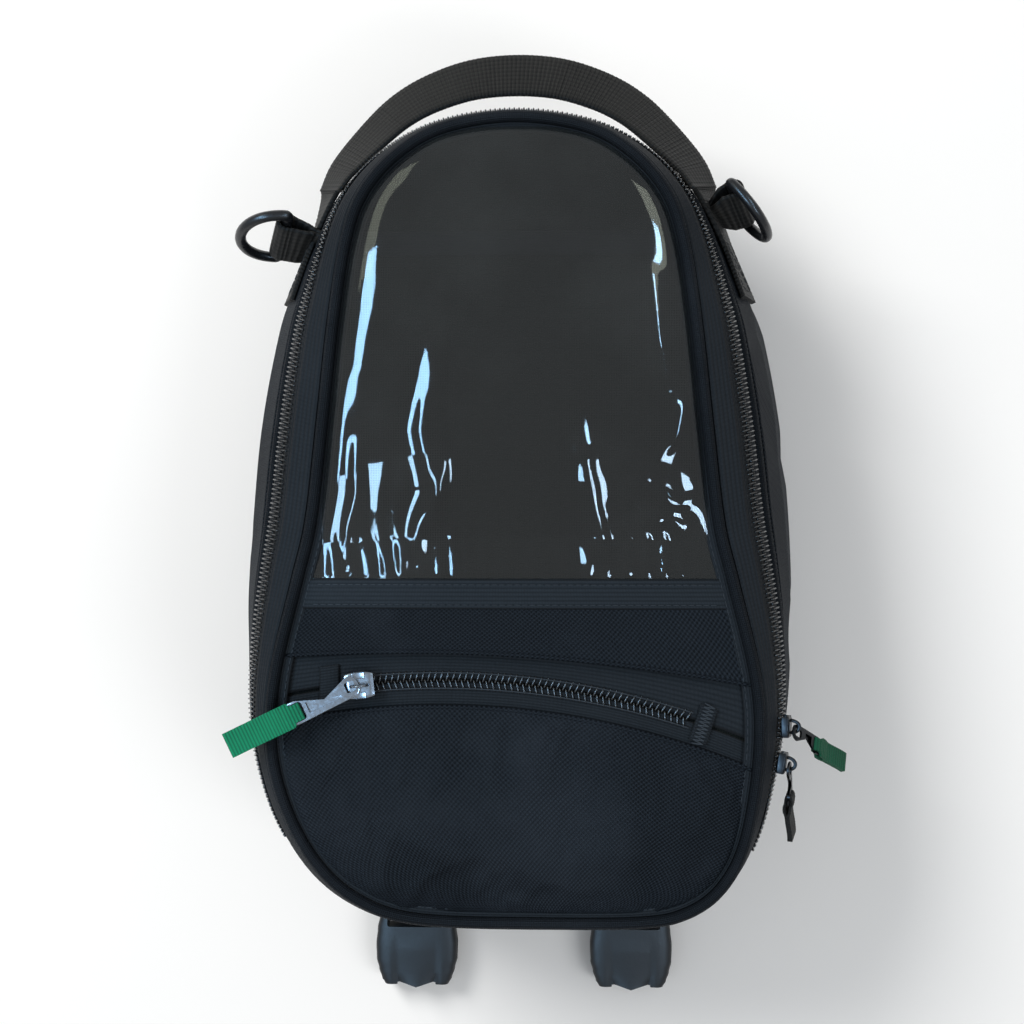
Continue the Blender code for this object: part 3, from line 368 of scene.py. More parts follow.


# the cloth, tape and strap looks take a colour of painted shade for the hollows, then a colour of painted
# highlight for the yarn tops or rib crests; dust is laid over both
looks = {
    "shellCloth": clothLook(
        "shellCloth", (0.0003, 0.0006, 0.0012), (0.0095, 0.0128, 0.0180), 0.00185, 0.9, 0.62, 0.0
    ),
    "panelCloth": clothLook(
        "panelCloth", (0.0002, 0.0005, 0.0011), (0.0125, 0.0172, 0.0245), 0.00200, 1.0, 0.55, 0.0
    ),
    "pipingCloth": clothLook(
        "pipingCloth", (0.0010, 0.0015, 0.0025), (0.0080, 0.0104, 0.0142), 0.00120, 0.7, 0.60
    ),
    "backCloth": clothLook(
        "backCloth", (0.0030, 0.0042, 0.0040), (0.0130, 0.0158, 0.0150), 0.00140, 0.7, 0.85
    ),
    "liningCloth": clothLook(
        "liningCloth", (0.020, 0.022, 0.025), (0.050, 0.053, 0.058), 0.00070, 0.35, 0.80
    ),
    "ribTape": strapLook(
        "ribTape", (0.0012, 0.0018, 0.0030), (0.0072, 0.0092, 0.0122), 0.0011, 0.0016, 0.7, 0.70
    ),
    "handleStrap": strapLook(
        "handleStrap", (0.0012, 0.0012, 0.0011), (0.0125, 0.0120, 0.0104), 0.0017, 0.0021, 0.9, 0.62
    ),
    "greenStrap": strapLook(
        "greenStrap", (0.000, 0.060, 0.030), (0.004, 0.285, 0.135), 0.0013, 0.0011, 0.6, 0.60
    ),
    # a darker copy of the green strap: painted shade on the green webbing of a main zip pull
    "greenStrapPaintedShade": strapLook(
        "greenStrapPaintedShade", (0.000, 0.022, 0.010), (0.002, 0.095, 0.042), 0.0013, 0.0011, 0.6, 0.65
    ),
    "coilNylon": mouldedLook("coilNylon", (0.008, 0.009, 0.010), 0.22, 0.05, coat=0.8),
    "buckleAcetal": mouldedLook("buckleAcetal", (0.0030, 0.0042, 0.0062), 0.46, 0.25),
    "ringAcetal": mouldedLook("ringAcetal", (0.008, 0.009, 0.011), 0.28, 0.10),
    "gripRubber": mouldedLook("gripRubber", (0.012, 0.012, 0.013), 0.70, 0.9),
    "boardPlastic": mouldedLook("boardPlastic", (0.055, 0.055, 0.055), 0.50, 0.5),
    "foamGrey": mouldedLook("foamGrey", (0.085, 0.085, 0.090), 0.90, 1.0),
    "thread": mouldedLook("thread", (0.0085, 0.0105, 0.0140), 0.62, 0.4),
    "silverMetal": metalLook("silverMetal", (0.34, 0.38, 0.43), 0.20, 0.06),
    "blackMetal": metalLook("blackMetal", (0.035, 0.037, 0.040), 0.30, 0.08),
    "clearVinyl": clearLook("clearVinyl"),
}
print("looks ready:", len(looks))

# ---- the bag's outline

bag = {
    "lidLength": 0.324,
    "lidWidth": 0.198,
    "tubLength": 0.330,
    "tubWidth": 0.234,
    "tubTop": 0.0865,
    "lidSeam": 0.1045,
    "pipingRadius": 0.0022,
    "zipEnd": 23 / 60,  # how far round from the handle end the main zip runs, each way
    # half outlines from the handle end to the strap end: along and across, as shares
    "lidUpper": ((1.000, 0.000), (0.973, 0.293), (0.907, 0.485), (0.809, 0.626), (0.691, 0.697), (0.500, 0.747),
                 (0.247, 0.792), (0.000, 0.838), (-0.148, 0.895), (-0.383, 0.985), (-0.562, 1.000)),
    "lidRight": ((-0.777, 0.947), (-0.900, 0.850), (-0.970, 0.700), (-0.996, 0.490), (-1.000, 0.000)),
    "lidLeft": ((-0.716, 0.938), (-0.850, 0.815), (-0.940, 0.650), (-0.990, 0.420), (-1.000, 0.000)),
    "tubHalf": ((1.000, 0.000), (0.975, 0.270), (0.909, 0.500), (0.788, 0.684), (0.588, 0.829), (0.455, 0.897),
                (0.188, 0.966), (-0.145, 1.000), (-0.320, 0.991), (-0.480, 0.970), (-0.620, 0.925),
                (-0.760, 0.850), (-0.900, 0.690), (-0.980, 0.420), (-1.000, 0.000)),
    # height as a share of the lid's seam, and how far out from lid to tub
    "shoulder": (
        (1.0, 0.0), (0.96, 0.3), (0.915, 0.4), (0.83, 0.615), (0.67, 0.86), (0.4, 1.0), (0.19, 0.97),
        (0.0, 0.9)
    ),
}
perHalf = 360


def smoothLine(points, steps=16):
    line = []
    for i in range(1, len(points) - 2):
        a, b, c, d = (Vector(p) for p in points[i - 1 : i + 3])
        for step in range(steps):
            t = step / steps
            bend = (2 * a - 5 * b + 4 * c - d) * t**2 + (3 * b - a - 3 * c + d) * t**3
            line.append(0.5 * (2 * b + (c - a) * t + bend))
    line.append(Vector(points[-2]))
    return line


def evenly(line, count):
    lengths = [0.0]
    for a, b in zip(line, line[1:]):
        lengths.append(lengths[-1] + (b - a).length)
    found, at = [], 0
    for i in range(count + 1):
        want = lengths[-1] * i / count
        while at < len(line) - 2 and lengths[at + 1] < want:
            at += 1
        share = (want - lengths[at]) / (lengths[at + 1] - lengths[at])
        found.append(line[at].lerp(line[at + 1], min(max(share, 0.0), 1.0)))
    return found


def halfLine(shares, length, width, side):
    points = [Vector((side * across * width / 2, along * length / 2)) for along, across in shares]
    before = Vector((-points[1].x, points[1].y))
    after = Vector((-points[-2].x, points[-2].y))
    return smoothLine([before, *points, after])


lidLines = {
    1: halfLine(bag["lidUpper"] + bag["lidRight"], bag["lidLength"], bag["lidWidth"], 1),
    -1: halfLine(bag["lidUpper"] + bag["lidLeft"], bag["lidLength"], bag["lidWidth"], -1),
}
tubLines = {side: halfLine(bag["tubHalf"], bag["tubLength"], bag["tubWidth"], side) for side in (1, -1)}
lidRing = evenly(lidLines[1], perHalf)[:-1] + evenly(lidLines[-1], perHalf)[:0:-1]
tubRing = evenly(tubLines[1], perHalf)[:-1] + evenly(tubLines[-1], perHalf)[:0:-1]
ringCount = len(lidRing)


# turn goes from 0 at the handle end, down the right side, round to 1
def edgePoint(turn, out=0.0, grow=0.0, z=0.0):
    at = (turn % 1.0) * ringCount
    i = int(at)
    share = at - i

    def spot(k):
        return lidRing[k % ringCount].lerp(tubRing[k % ringCount], out)

    here = spot(i).lerp(spot(i + 1), share)
    along = (spot(i + 6) - spot(i - 5)).normalized()
    return Vector((here.x - along.y * grow, here.y + along.x * grow, z))


def shoulderOut(z):
    steps = bag["shoulder"]
    share = min(max(z / bag["lidSeam"], 0.0), 1.0)
    for (high, near), (low, far) in zip(steps, steps[1:]):
        if share >= low:
            return near + (far - near) * (high - share) / (high - low)
    return steps[-1][1]


def sidePoint(turn, z, proud=0.0):
    return edgePoint(turn, shoulderOut(z), proud, z)


def sideFrame(turn, z):  # a place on the side wall, with the ways along it, up it and out of it
    here = sidePoint(turn, z)
    along = (sidePoint(turn + 0.002, z) - sidePoint(turn - 0.002, z)).normalized()
    up = (sidePoint(turn, z + 0.002) - sidePoint(turn, z - 0.002)).normalized()
    out = up.cross(along).normalized()
    if out.dot(Vector((here.x, here.y, 0.0))) < 0:
        out.negate()
    return here, along, up, out


def turnAt(y, side, z):  # where the side wall crosses this y
    low, high = (0.0, 0.5) if side > 0 else (0.5, 1.0)
    for _ in range(30):
        middle = (low + high) / 2
        above = sidePoint(middle, z).y > y
        if (side > 0) == above:
            low = middle
        else:
            high = middle
    return (low + high) / 2


def insetLine(side, inset):
    line = lidLines[side]
    moved = []
    for i, point in enumerate(line):
        along = (line[min(i + 1, len(line) - 1)] - line[max(i - 1, 0)]).normalized()
        moved.append(Vector((point.x + side * along.y * inset, point.y - side * along.x * inset)))
    return moved


def crossing(y, side, line):
    for a, b in zip(line, line[1:]):
        if a.y >= y > b.y:
            return side * max(side * (a.x + (b.x - a.x) * (a.y - y) / (a.y - b.y)), 0.0)
    return 0.0


# a place on the lid from shares across and up, between two curves y(x)
def lidSpread(low, high, inset, height):
    lines = {side: insetLine(side, inset) for side in (-1, 1)}
    ends = {}

    def place(u, v):
        key = round(v, 6)
        if key not in ends:
            found = []
            for side in (-1, 1):
                x = side * bag["lidWidth"] * 0.35
                for _ in range(12):
                    x = crossing(low(x) + (high(x) - low(x)) * v, side, lines[side])
                found.append(x)
            ends[key] = found
        left, right = ends[key]
        x = left + (right - left) * u
        y = low(x) + (high(x) - low(x)) * v
        return Vector((x, y, height(u, v, x, y)))

    return place


def arc(radius, xTop, yTop):
    return lambda x: yTop - radius + math.sqrt(radius**2 - (x - xTop) ** 2)


def level(y):
    return lambda x: y


def shifted(curve, by):
    return lambda x: curve(x) + by


def dome(share, power=0.55):
    return max(4 * share * (1 - share), 0.0) ** power


def ripple(x, y, z, scale, amount, seed=0.0):
    return noise.noise(Vector((x * scale + seed, y * scale - seed, z * scale + 0.5 * seed))) * amount


# ---- making pieces


def finishPiece(name, bm, look, body, stands=(), smooth=True, angle=50.0):
    bmesh.ops.remove_doubles(bm, verts=bm.verts, dist=1e-6)
    mesh = bpy.data.meshes.new(name)
    bm.to_mesh(mesh)
    bm.free()
    if smooth:
        mesh.shade_smooth()
        mesh.set_sharp_from_angle(angle=math.radians(angle))
    mesh.materials.append(looks[look])
    piece = bpy.data.objects.new(name, mesh)
    bpy.context.scene.collection.objects.link(piece)
    if body:
        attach(piece, body)
    if stands:
        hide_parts(*stands)
    return piece


def spread(across, along, place, size):  # a grid with its UV in metres, each vertex moved to place(u, v)
    bm = bmesh.new()
    pattern = bm.loops.layers.uv.new("pattern")
    bmesh.ops.create_grid(bm, x_segments=across, y_segments=along, size=0.5)
    for face in bm.faces:
        for loop in face.loops:
            loop[pattern].uv = ((loop.vert.co.x + 0.5) * size[0], (loop.vert.co.y + 0.5) * size[1])
    for vert in bm.verts:
        vert.co = place(vert.co.x + 0.5, vert.co.y + 0.5)
    return bm


def facing(bm, outward):  # turns an open sheet's faces to look outward(middle)
    bmesh.ops.recalc_face_normals(bm, faces=bm.faces)
    bm.normal_update()
    score = sum(f.normal.dot(outward(f.calc_center_median())) * f.calc_area() for f in bm.faces)
    if score < 0:
        bmesh.ops.reverse_faces(bm, faces=bm.faces)


def upwards(middle):
    return Vector((0.0, 0.0, 1.0))


def fromBag(middle):
    return Vector((middle.x, middle.y, 0.0))


def thicken(piece, thick, offset=-1.0):
    solid = piece.modifiers.new("clothThickness", "SOLIDIFY")
    solid.thickness = thick
    solid.offset = offset
    return piece


# a section of (across, out) points carried along frames of (place, across, out)
def sweep(frames, section, closed=False):
    count = len(section)
    length = sum((b[0] - a[0]).length for a, b in zip(frames, frames[1:]))
    girth = sum((Vector(b) - Vector(a)).length for a, b in zip(section, section[1:] + section[:1]))

    def place(u, v):
        x, y = section[round(u * count) % count]
        here, across, out = frames[round(v * (len(frames) - 1))]
        return here + across * x + out * y

    bm = spread(count, len(frames) - 1, place, (girth, length))
    bmesh.ops.remove_doubles(bm, verts=bm.verts, dist=1e-7)
    if not closed:
        rims = [e for e in bm.edges if e.is_boundary]
        bmesh.ops.holes_fill(bm, edges=rims, sides=0)
    bmesh.ops.recalc_face_normals(bm, faces=bm.faces)
    return bm


# frames along a line, with out kept as near as it goes to the given way
def carried(points, out, closed=False):
    frames = []
    count = len(points)
    for i, point in enumerate(points):
        before = points[i - 1] if closed or i else points[0]
        after = points[(i + 1) % count] if closed or i < count - 1 else points[-1]
        along = (after - before).normalized()
        outward = Vector(out(i) if callable(out) else out)
        outward = (outward - along * outward.dot(along)).normalized()
        frames.append((point, along.cross(outward).normalized(), outward))
    return frames


def circle(radius, sides):
    return [(radius * math.cos(2 * math.pi * i / sides), radius * math.sin(2 * math.pi * i / sides)) for i in range(sides)]


def strapSection(width, thick, steps=5):  # a flat strap with round edges
    r = thick / 2
    right = [
        (width / 2 - r + r * math.sin(math.pi * i / 4), -r * math.cos(math.pi * i / 4)) for i in range(5)
    ]
    left = [(-x, -y) for x, y in right]
    top = [((width / 2 - r) * (1 - 2 * i / steps), r) for i in range(1, steps)]
    low = [(-x, -y) for x, y in top]
    return right + top + left + low


def ribbed(frames, section, pitch, depth, closed=False):  # a sweep whose ribs really stand out of the strap
    travelled = 0.0
    places = []
    for i, (here, across, out) in enumerate(frames):
        if i:
            travelled += (here - frames[i - 1][0]).length
        places.append(abs(math.sin(math.pi * travelled / pitch)))
    count = len(section)
    length = travelled
    girth = sum((Vector(b) - Vector(a)).length for a, b in zip(section, section[1:] + section[:1]))

    def place(u, v):
        x, y = section[round(u * count) % count]
        i = round(v * (len(frames) - 1))
        here, across, out = frames[i]
        rib = depth * (places[i] - 0.5)
        spot = Vector((x, y))
        grown = spot + spot.normalized() * rib if abs(y) < 1e-9 else Vector(
            (x + math.copysign(rib, x) * 0.5, y + math.copysign(rib, y))
        )
        return here + across * grown.x + out * grown.y

    bm = spread(count, len(frames) - 1, place, (girth, length))
    bmesh.ops.remove_doubles(bm, verts=bm.verts, dist=1e-7)
    if not closed:
        bmesh.ops.holes_fill(bm, edges=[e for e in bm.edges if e.is_boundary], sides=0)
    bmesh.ops.recalc_face_normals(bm, faces=bm.faces)
    return bm


def seedShape(length, width, height, around=8, rings=6):  # a small capsule along X: a stitch or a zip tooth
    bm = bmesh.new()
    bmesh.ops.create_uvsphere(bm, u_segments=around, v_segments=rings, radius=0.5)
    bmesh.ops.rotate(bm, verts=bm.verts, cent=(0, 0, 0), matrix=Matrix.Rotation(math.pi / 2, 3, "Y"))
    for vert in bm.verts:
        vert.co = Vector((vert.co.x * height, vert.co.y * width, vert.co.z * height))
        vert.co.x += math.copysign((length - height) / 2, vert.co.x) if abs(vert.co.x) > 1e-6 else 0.0
    mesh = bpy.data.meshes.new("seedShape")
    bm.to_mesh(mesh)
    bm.free()
    return mesh


def scatter(seed, placements):  # copies of one small mesh, each put in place by a matrix
    bm = bmesh.new()
    for matrix in placements:
        start = len(bm.verts)
        bm.from_mesh(seed)
        bm.verts.ensure_lookup_table()
        bmesh.ops.transform(bm, matrix=matrix, verts=bm.verts[start:])
    bpy.data.meshes.remove(seed)
    return bm


def placing(x, y, z, at):
    return Matrix.Translation(at) @ Matrix((x, y, z)).transposed().to_4x4()


def stitchRow(
    name, points, outs, body, pitch=0.0034, long=0.0026, thick=0.00045, look="thread"
):
    line = evenly(points, max(2, round(sum((b - a).length for a, b in zip(points, points[1:])) / pitch)))
    rows = []
    for a, b in zip(line, line[1:]):
        middle = (a + b) / 2
        along = (b - a).normalized()
        out = Vector(outs(middle)).normalized()
        across = out.cross(along).normalized()
        rows.append(placing(along, across, across.cross(along) * -1, middle))
    return finishPiece(name, scatter(seedShape(long, thick, thick, 6, 4), rows), look, body)


# ---- tub: side cloth, its rolled edge, the base and what is inside

tub = {
    "low": 0.0034,
    "foldDepth": 0.0016,
    "foldScale": 15.0,
    "sag": 0.0012,
    "cloth": 0.0011,
    "foamInset": 0.0036,
    "foamThick": 0.0045,
    "boardTop": 0.0053,
    "liningTop": 0.0805,
}


def sideFold(z, here):  # how far the side cloth stands in or out: slack folds, fuller low down
    share = z / tub["low"] if z < tub["low"] else (z - tub["low"]) / (bag["tubTop"] - tub["low"])
    free = max(math.sin(math.pi * min(max(share, 0.0), 1.0)), 0.0) ** 0.6
    slow = noise.noise(Vector((here.x * tub["foldScale"], here.y * tub["foldScale"], z * 22.0)))
    crease = abs(noise.noise(Vector((here.x * 24 + 3.1, here.y * 24, z * 9 + 7.0))))
    return free * (tub["foldDepth"] * (slow - 0.35) - 0.0012 * max(0.0, 0.25 - crease) * 4 + tub["sag"] * 0.3)


def buildTub():
    def wall(u, v):
        z = tub["low"] + (bag["tubTop"] - tub["low"]) * v
        here = sidePoint(u, z)
        return sidePoint(u, z, sideFold(z, here))

    bm = spread(560, 46, wall, (0.92, 0.092))
    facing(bm, fromBag)
    shell = finishPiece("sideCloth", bm, "shellCloth", "tub", ["tub_gusset"])
    thicken(shell, tub["cloth"])

    def foam(u, v):
        z = tub["boardTop"] + 0.0006 + (tub["liningTop"] - tub["boardTop"]) * v
        return sidePoint(u, z, -tub["foamInset"] - 0.0002)

    bm = spread(240, 12, foam, (0.9, 0.075))
    facing(bm, fromBag)
    wallFoam = finishPiece("wallFoam", bm, "foamGrey", "tub", ["side_foam"])
    thicken(wallFoam, tub["foamThick"] - 0.0004)

    inner = -tub["foamInset"] - tub["foamThick"] - 0.0004
    rim = tub["liningTop"]

    def cup(u, v):  # up the wall first, then in across the floor to the middle
        if v > 0.6:
            z = tub["boardTop"] + 0.0010 + (rim - tub["boardTop"]) * (v - 0.6) / 0.4
            here = sidePoint(u, z, inner)
            fold = abs(noise.noise(Vector((here.x * 30, here.y * 30, z * 26)))) * 0.0020
            return sidePoint(u, z, inner - fold * math.sin(math.pi * (v - 0.6) / 0.4))
        edge = sidePoint(u, tub["boardTop"] + 0.0010, inner)
        share = v / 0.6
        lift = abs(ripple(edge.x * share, edge.y * share, 0.0, 22.0, 0.0011)) * (1 - share)
        return Vector((edge.x * share, edge.y * share, tub["boardTop"] + 0.0010 + lift))

    bm = spread(240, 60, cup, (0.86, 0.20))
    bmesh.ops.remove_doubles(bm, verts=bm.verts, dist=1e-6)
    facing(bm, lambda middle: Vector((-middle.x, -middle.y, 0.1)))
    lining = finishPiece("tubLining", bm, "liningCloth", "tub", ["tub_lining"])
    thicken(lining, 0.0005)

    line = [sidePoint(i / 480, rim + 0.0006, inner + 0.0022) for i in range(481)]
    frames = carried(line, (0, 0, 1))
    finishPiece("liningBinding", sweep(frames, circle(0.0016, 8), closed=True), "ribTape", "tub")

    line = [sidePoint(i / 600, 0.0890, -0.0011) for i in range(601)]
    frames = carried(line, lambda i: (0, 0, 1))
    bm = sweep(frames, circle(0.0021, 14), closed=True)
    for vert in bm.verts:
        vert.co += Vector((0, 0, ripple(*vert.co, 160, 0.00025)))
    finishPiece("tubPiping", bm, "pipingCloth", "tub", ["tub_piping"])

    line = [sidePoint(i / 600, 0.0036, -0.0002) for i in range(601)]
    frames = carried(line, (0, 0, 1))
    finishPiece(
        "baseBinding", sweep(frames, circle(0.0014, 10), closed=True), "pipingCloth", "tub"
    )

    def mat(u, v):  # the underside, then over its rounded edge and back in on top
        if v < 0.7:
            edge = edgePoint(u, shoulderOut(0.0), -0.0012)
            return Vector((edge.x * v / 0.7, edge.y * v / 0.7, 0.0))
        bend = math.pi * (v - 0.7) / 0.3
        edge = edgePoint(u, shoulderOut(0.0), -0.0012 + 0.0012 * math.sin(bend))
        edge.z = 0.0014 - 0.0014 * math.cos(bend)
        return edge

    bm = spread(240, 40, mat, (0.9, 0.11))
    bmesh.ops.remove_doubles(bm, verts=bm.verts, dist=1e-6)
    bmesh.ops.holes_fill(bm, edges=[e for e in bm.edges if e.is_boundary], sides=0)
    bmesh.ops.recalc_face_normals(bm, faces=bm.faces)
    finishPiece("gripMat", bm, "gripRubber", "tub", ["grip_base"])
    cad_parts["base_board"].data.materials.clear()
    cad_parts["base_board"].data.materials.append(looks["boardPlastic"])


buildTub()
print("tub built")

# ---- main zip, on the sloping side between the rolled edge and the lid

mainZip = {
    "low": 0.0914,
    "middle": 0.0960,
    "high": 0.1006,
    "pitch": 0.0019,
    "toothReach": 0.0031,
    "toothPast": 0.0008,
    "toothWidth": 0.00082,
    "toothHeight": 0.0013,
    "turnedUp": 0.30,
}


def buildMainZip():
    end = bag["zipEnd"]
    rows = (
        (
            "lowerZipTape", "lowerZipTeeth", "tub", mainZip["low"], mainZip["middle"] - 0.00015, -1,
            "lower_zip"
        ),
        (
            "upperZipTape", "upperZipTeeth", "lid", mainZip["middle"] + 0.00015, mainZip["high"], 1,
            "upper_zip"
        ),
    )
    for tapeName, teethName, body, low, high, way, node in rows:
        def tape(u, v, low=low, high=high):
            return sidePoint((u * 2 - 1) * end, low + (high - low) * v, 0.0001)

        bm = spread(420, 6, tape, (0.71, 0.005))
        facing(bm, fromBag)
        thicken(finishPiece(tapeName, bm, "ribTape", body, [f"{node}_tape"]), 0.0007)
        line = evenly([sidePoint((i / 400 * 2 - 1) * end, mainZip["middle"]) for i in range(401)], 2000)
        length = sum((b - a).length for a, b in zip(line, line[1:]))
        count = int(length / mainZip["pitch"])
        placements = []
        for i in range(count):
            share = (i + (0.5 if way > 0 else 0.0)) / count
            turn = (share * 2 - 1) * end
            here, along, up, out = sideFrame(turn, mainZip["middle"])
            side = abs(turn)
            eased = mainZip["turnedUp"] * min(
                max((side - 0.09) / 0.09, 0.0), 1.0
            ) * min(max((end - side) / 0.09, 0.0), 1.0)
            face = (out * (1 - eased) + Vector((0, 0, eased))).normalized()
            climb = (up - face * up.dot(face)).normalized()
            middle = (mainZip["toothReach"] - mainZip["toothPast"]) / 2 * way
            at = here + climb * middle + face * (0.0009 + eased * 0.0024)
            placements.append(placing(climb, along, climb.cross(along), at))
        seed = seedShape(
            mainZip["toothReach"] + mainZip["toothPast"], mainZip["toothWidth"], mainZip["toothHeight"], 8, 5
        )
        finishPiece(teethName, scatter(seed, placements), "coilNylon", body, [f"{node}_coil"])

    def hinge(u, v):
        z = 0.0914 + (0.1004 - 0.0914) * v
        return sidePoint(end + 0.004 + (1 - 2 * end - 0.008) * u, z, 0.0002 + 0.0005 * math.sin(math.pi * v))

    bm = spread(160, 14, hinge, (0.21, 0.0095))
    facing(bm, fromBag)
    cloth = finishPiece("hingeCloth", bm, "shellCloth", None, ["lid_hinge_cloth"])
    solid = cloth.modifiers.new("clothThickness", "SOLIDIFY")
    solid.thickness = 0.0009
    solid.offset = -1
    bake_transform(cloth)


buildMainZip()
print("main zip built")

# ---- lid: piping, side tape, back panel, clear window and its tapes

lid = {
    "backTop": 0.1001,
    "rim": 0.1018,
    "inset": 0.0047,
    "windowLow": -0.0240,
    "windowHigh": 0.1563,
    "windowBulge": 0.0108,
    "windowSheet": 0.0007,
    "bandHeight": 0.0115,
    "stripBulge": 0.0026,
    "flutePitch": 0.0078,
    # creases in the clear sheet: points (x, y), then width and height
    "creases": (
        (((-0.069, 0.055), (-0.071, 0.020), (-0.072, -0.018)), 0.0035, 0.0016),
        (((-0.062, 0.030), (-0.063, 0.010), (-0.067, -0.010), (-0.069, -0.022)), 0.0028, 0.0013),
        (
            ((-0.031, 0.067), (-0.035, 0.035), (-0.030, 0.010), (-0.040, -0.010), (-0.050, -0.024)), 0.0045,
            0.0018
        ),
        (((-0.026, 0.075), (-0.029, 0.050), (-0.027, 0.020), (-0.033, -0.006)), 0.0030, 0.0011),
        (((0.055, 0.095), (0.058, 0.070), (0.061, 0.050)), 0.0045, 0.0015),
        (((0.068, 0.045), (0.064, 0.032), (0.057, 0.025)), 0.0026, 0.0012),
        (((0.022, 0.060), (0.027, 0.030), (0.033, 0.000), (0.035, -0.022)), 0.0040, 0.0013),
        (((0.052, 0.012), (0.064, 0.006), (0.075, 0.008)), 0.0030, 0.0011),
        (((0.050, -0.002), (0.060, 0.000), (0.072, -0.006)), 0.0028, 0.0010),
        (((-0.020, 0.150), (-0.008, 0.1515), (0.004, 0.151)), 0.0022, 0.0006),
    ),
}


def toSegment(x, y, a, b):
    dx, dy = b[0] - a[0], b[1] - a[1]
    share = min(max(((x - a[0]) * dx + (y - a[1]) * dy) / (dx * dx + dy * dy), 0.0), 1.0)
    return math.hypot(x - a[0] - dx * share, y - a[1] - dy * share), share


def windowHeight(u, v, x, y):
    seam = 0.26 * dome(u) * (1 - v)
    rise = min(v / 0.30, 1.0)
    z = lid["windowBulge"] * max(
        dome(u, 0.4) * min(rise * rise * (3 - 2 * rise), dome(max(v, 0.5), 0.35)), seam
    )
    held = min(1.0, 9.0 * min(u, 1 - u, 0.9 * v + 0.06, 1 - v))
    bump = 0.0
    for points, width, tall in lid["creases"]:
        near, where = 1.0, 0.0
        for i, (a, b) in enumerate(zip(points, points[1:])):
            away, share = toSegment(x, y, a, b)
            if away < near:
                near, where = away, (i + share) / (len(points) - 1)
        if near < width * 3:
            bump += tall * math.exp(-((near / width) ** 2)) * (
                0.35 + 0.65 * math.sin(math.pi * min(max(where, 0.02), 0.98))
            )
    lean = x + 0.010 * noise.noise(Vector((x * 30, y * 30, 2.0)))
    flute = math.sin(2 * math.pi * lean / lid["flutePitch"] + 2.2 * noise.noise(Vector((x * 22, 0.0, 5.0))))
    tall = 0.6 + 0.8 * noise.noise(Vector((x * 45, 9.0, 0.0)))
    fade = math.exp(-v / (0.050 + 0.05 * max(tall, 0.0)))
    bump += 0.0010 * flute * tall * fade * min(1.0, v * 60 + 0.1)
    bump += ripple(x, y, 0.0, 26.0, 0.0007) + ripple(x, y, 4.0, 70.0, 0.0002)
    return lid["rim"] + z + bump * held


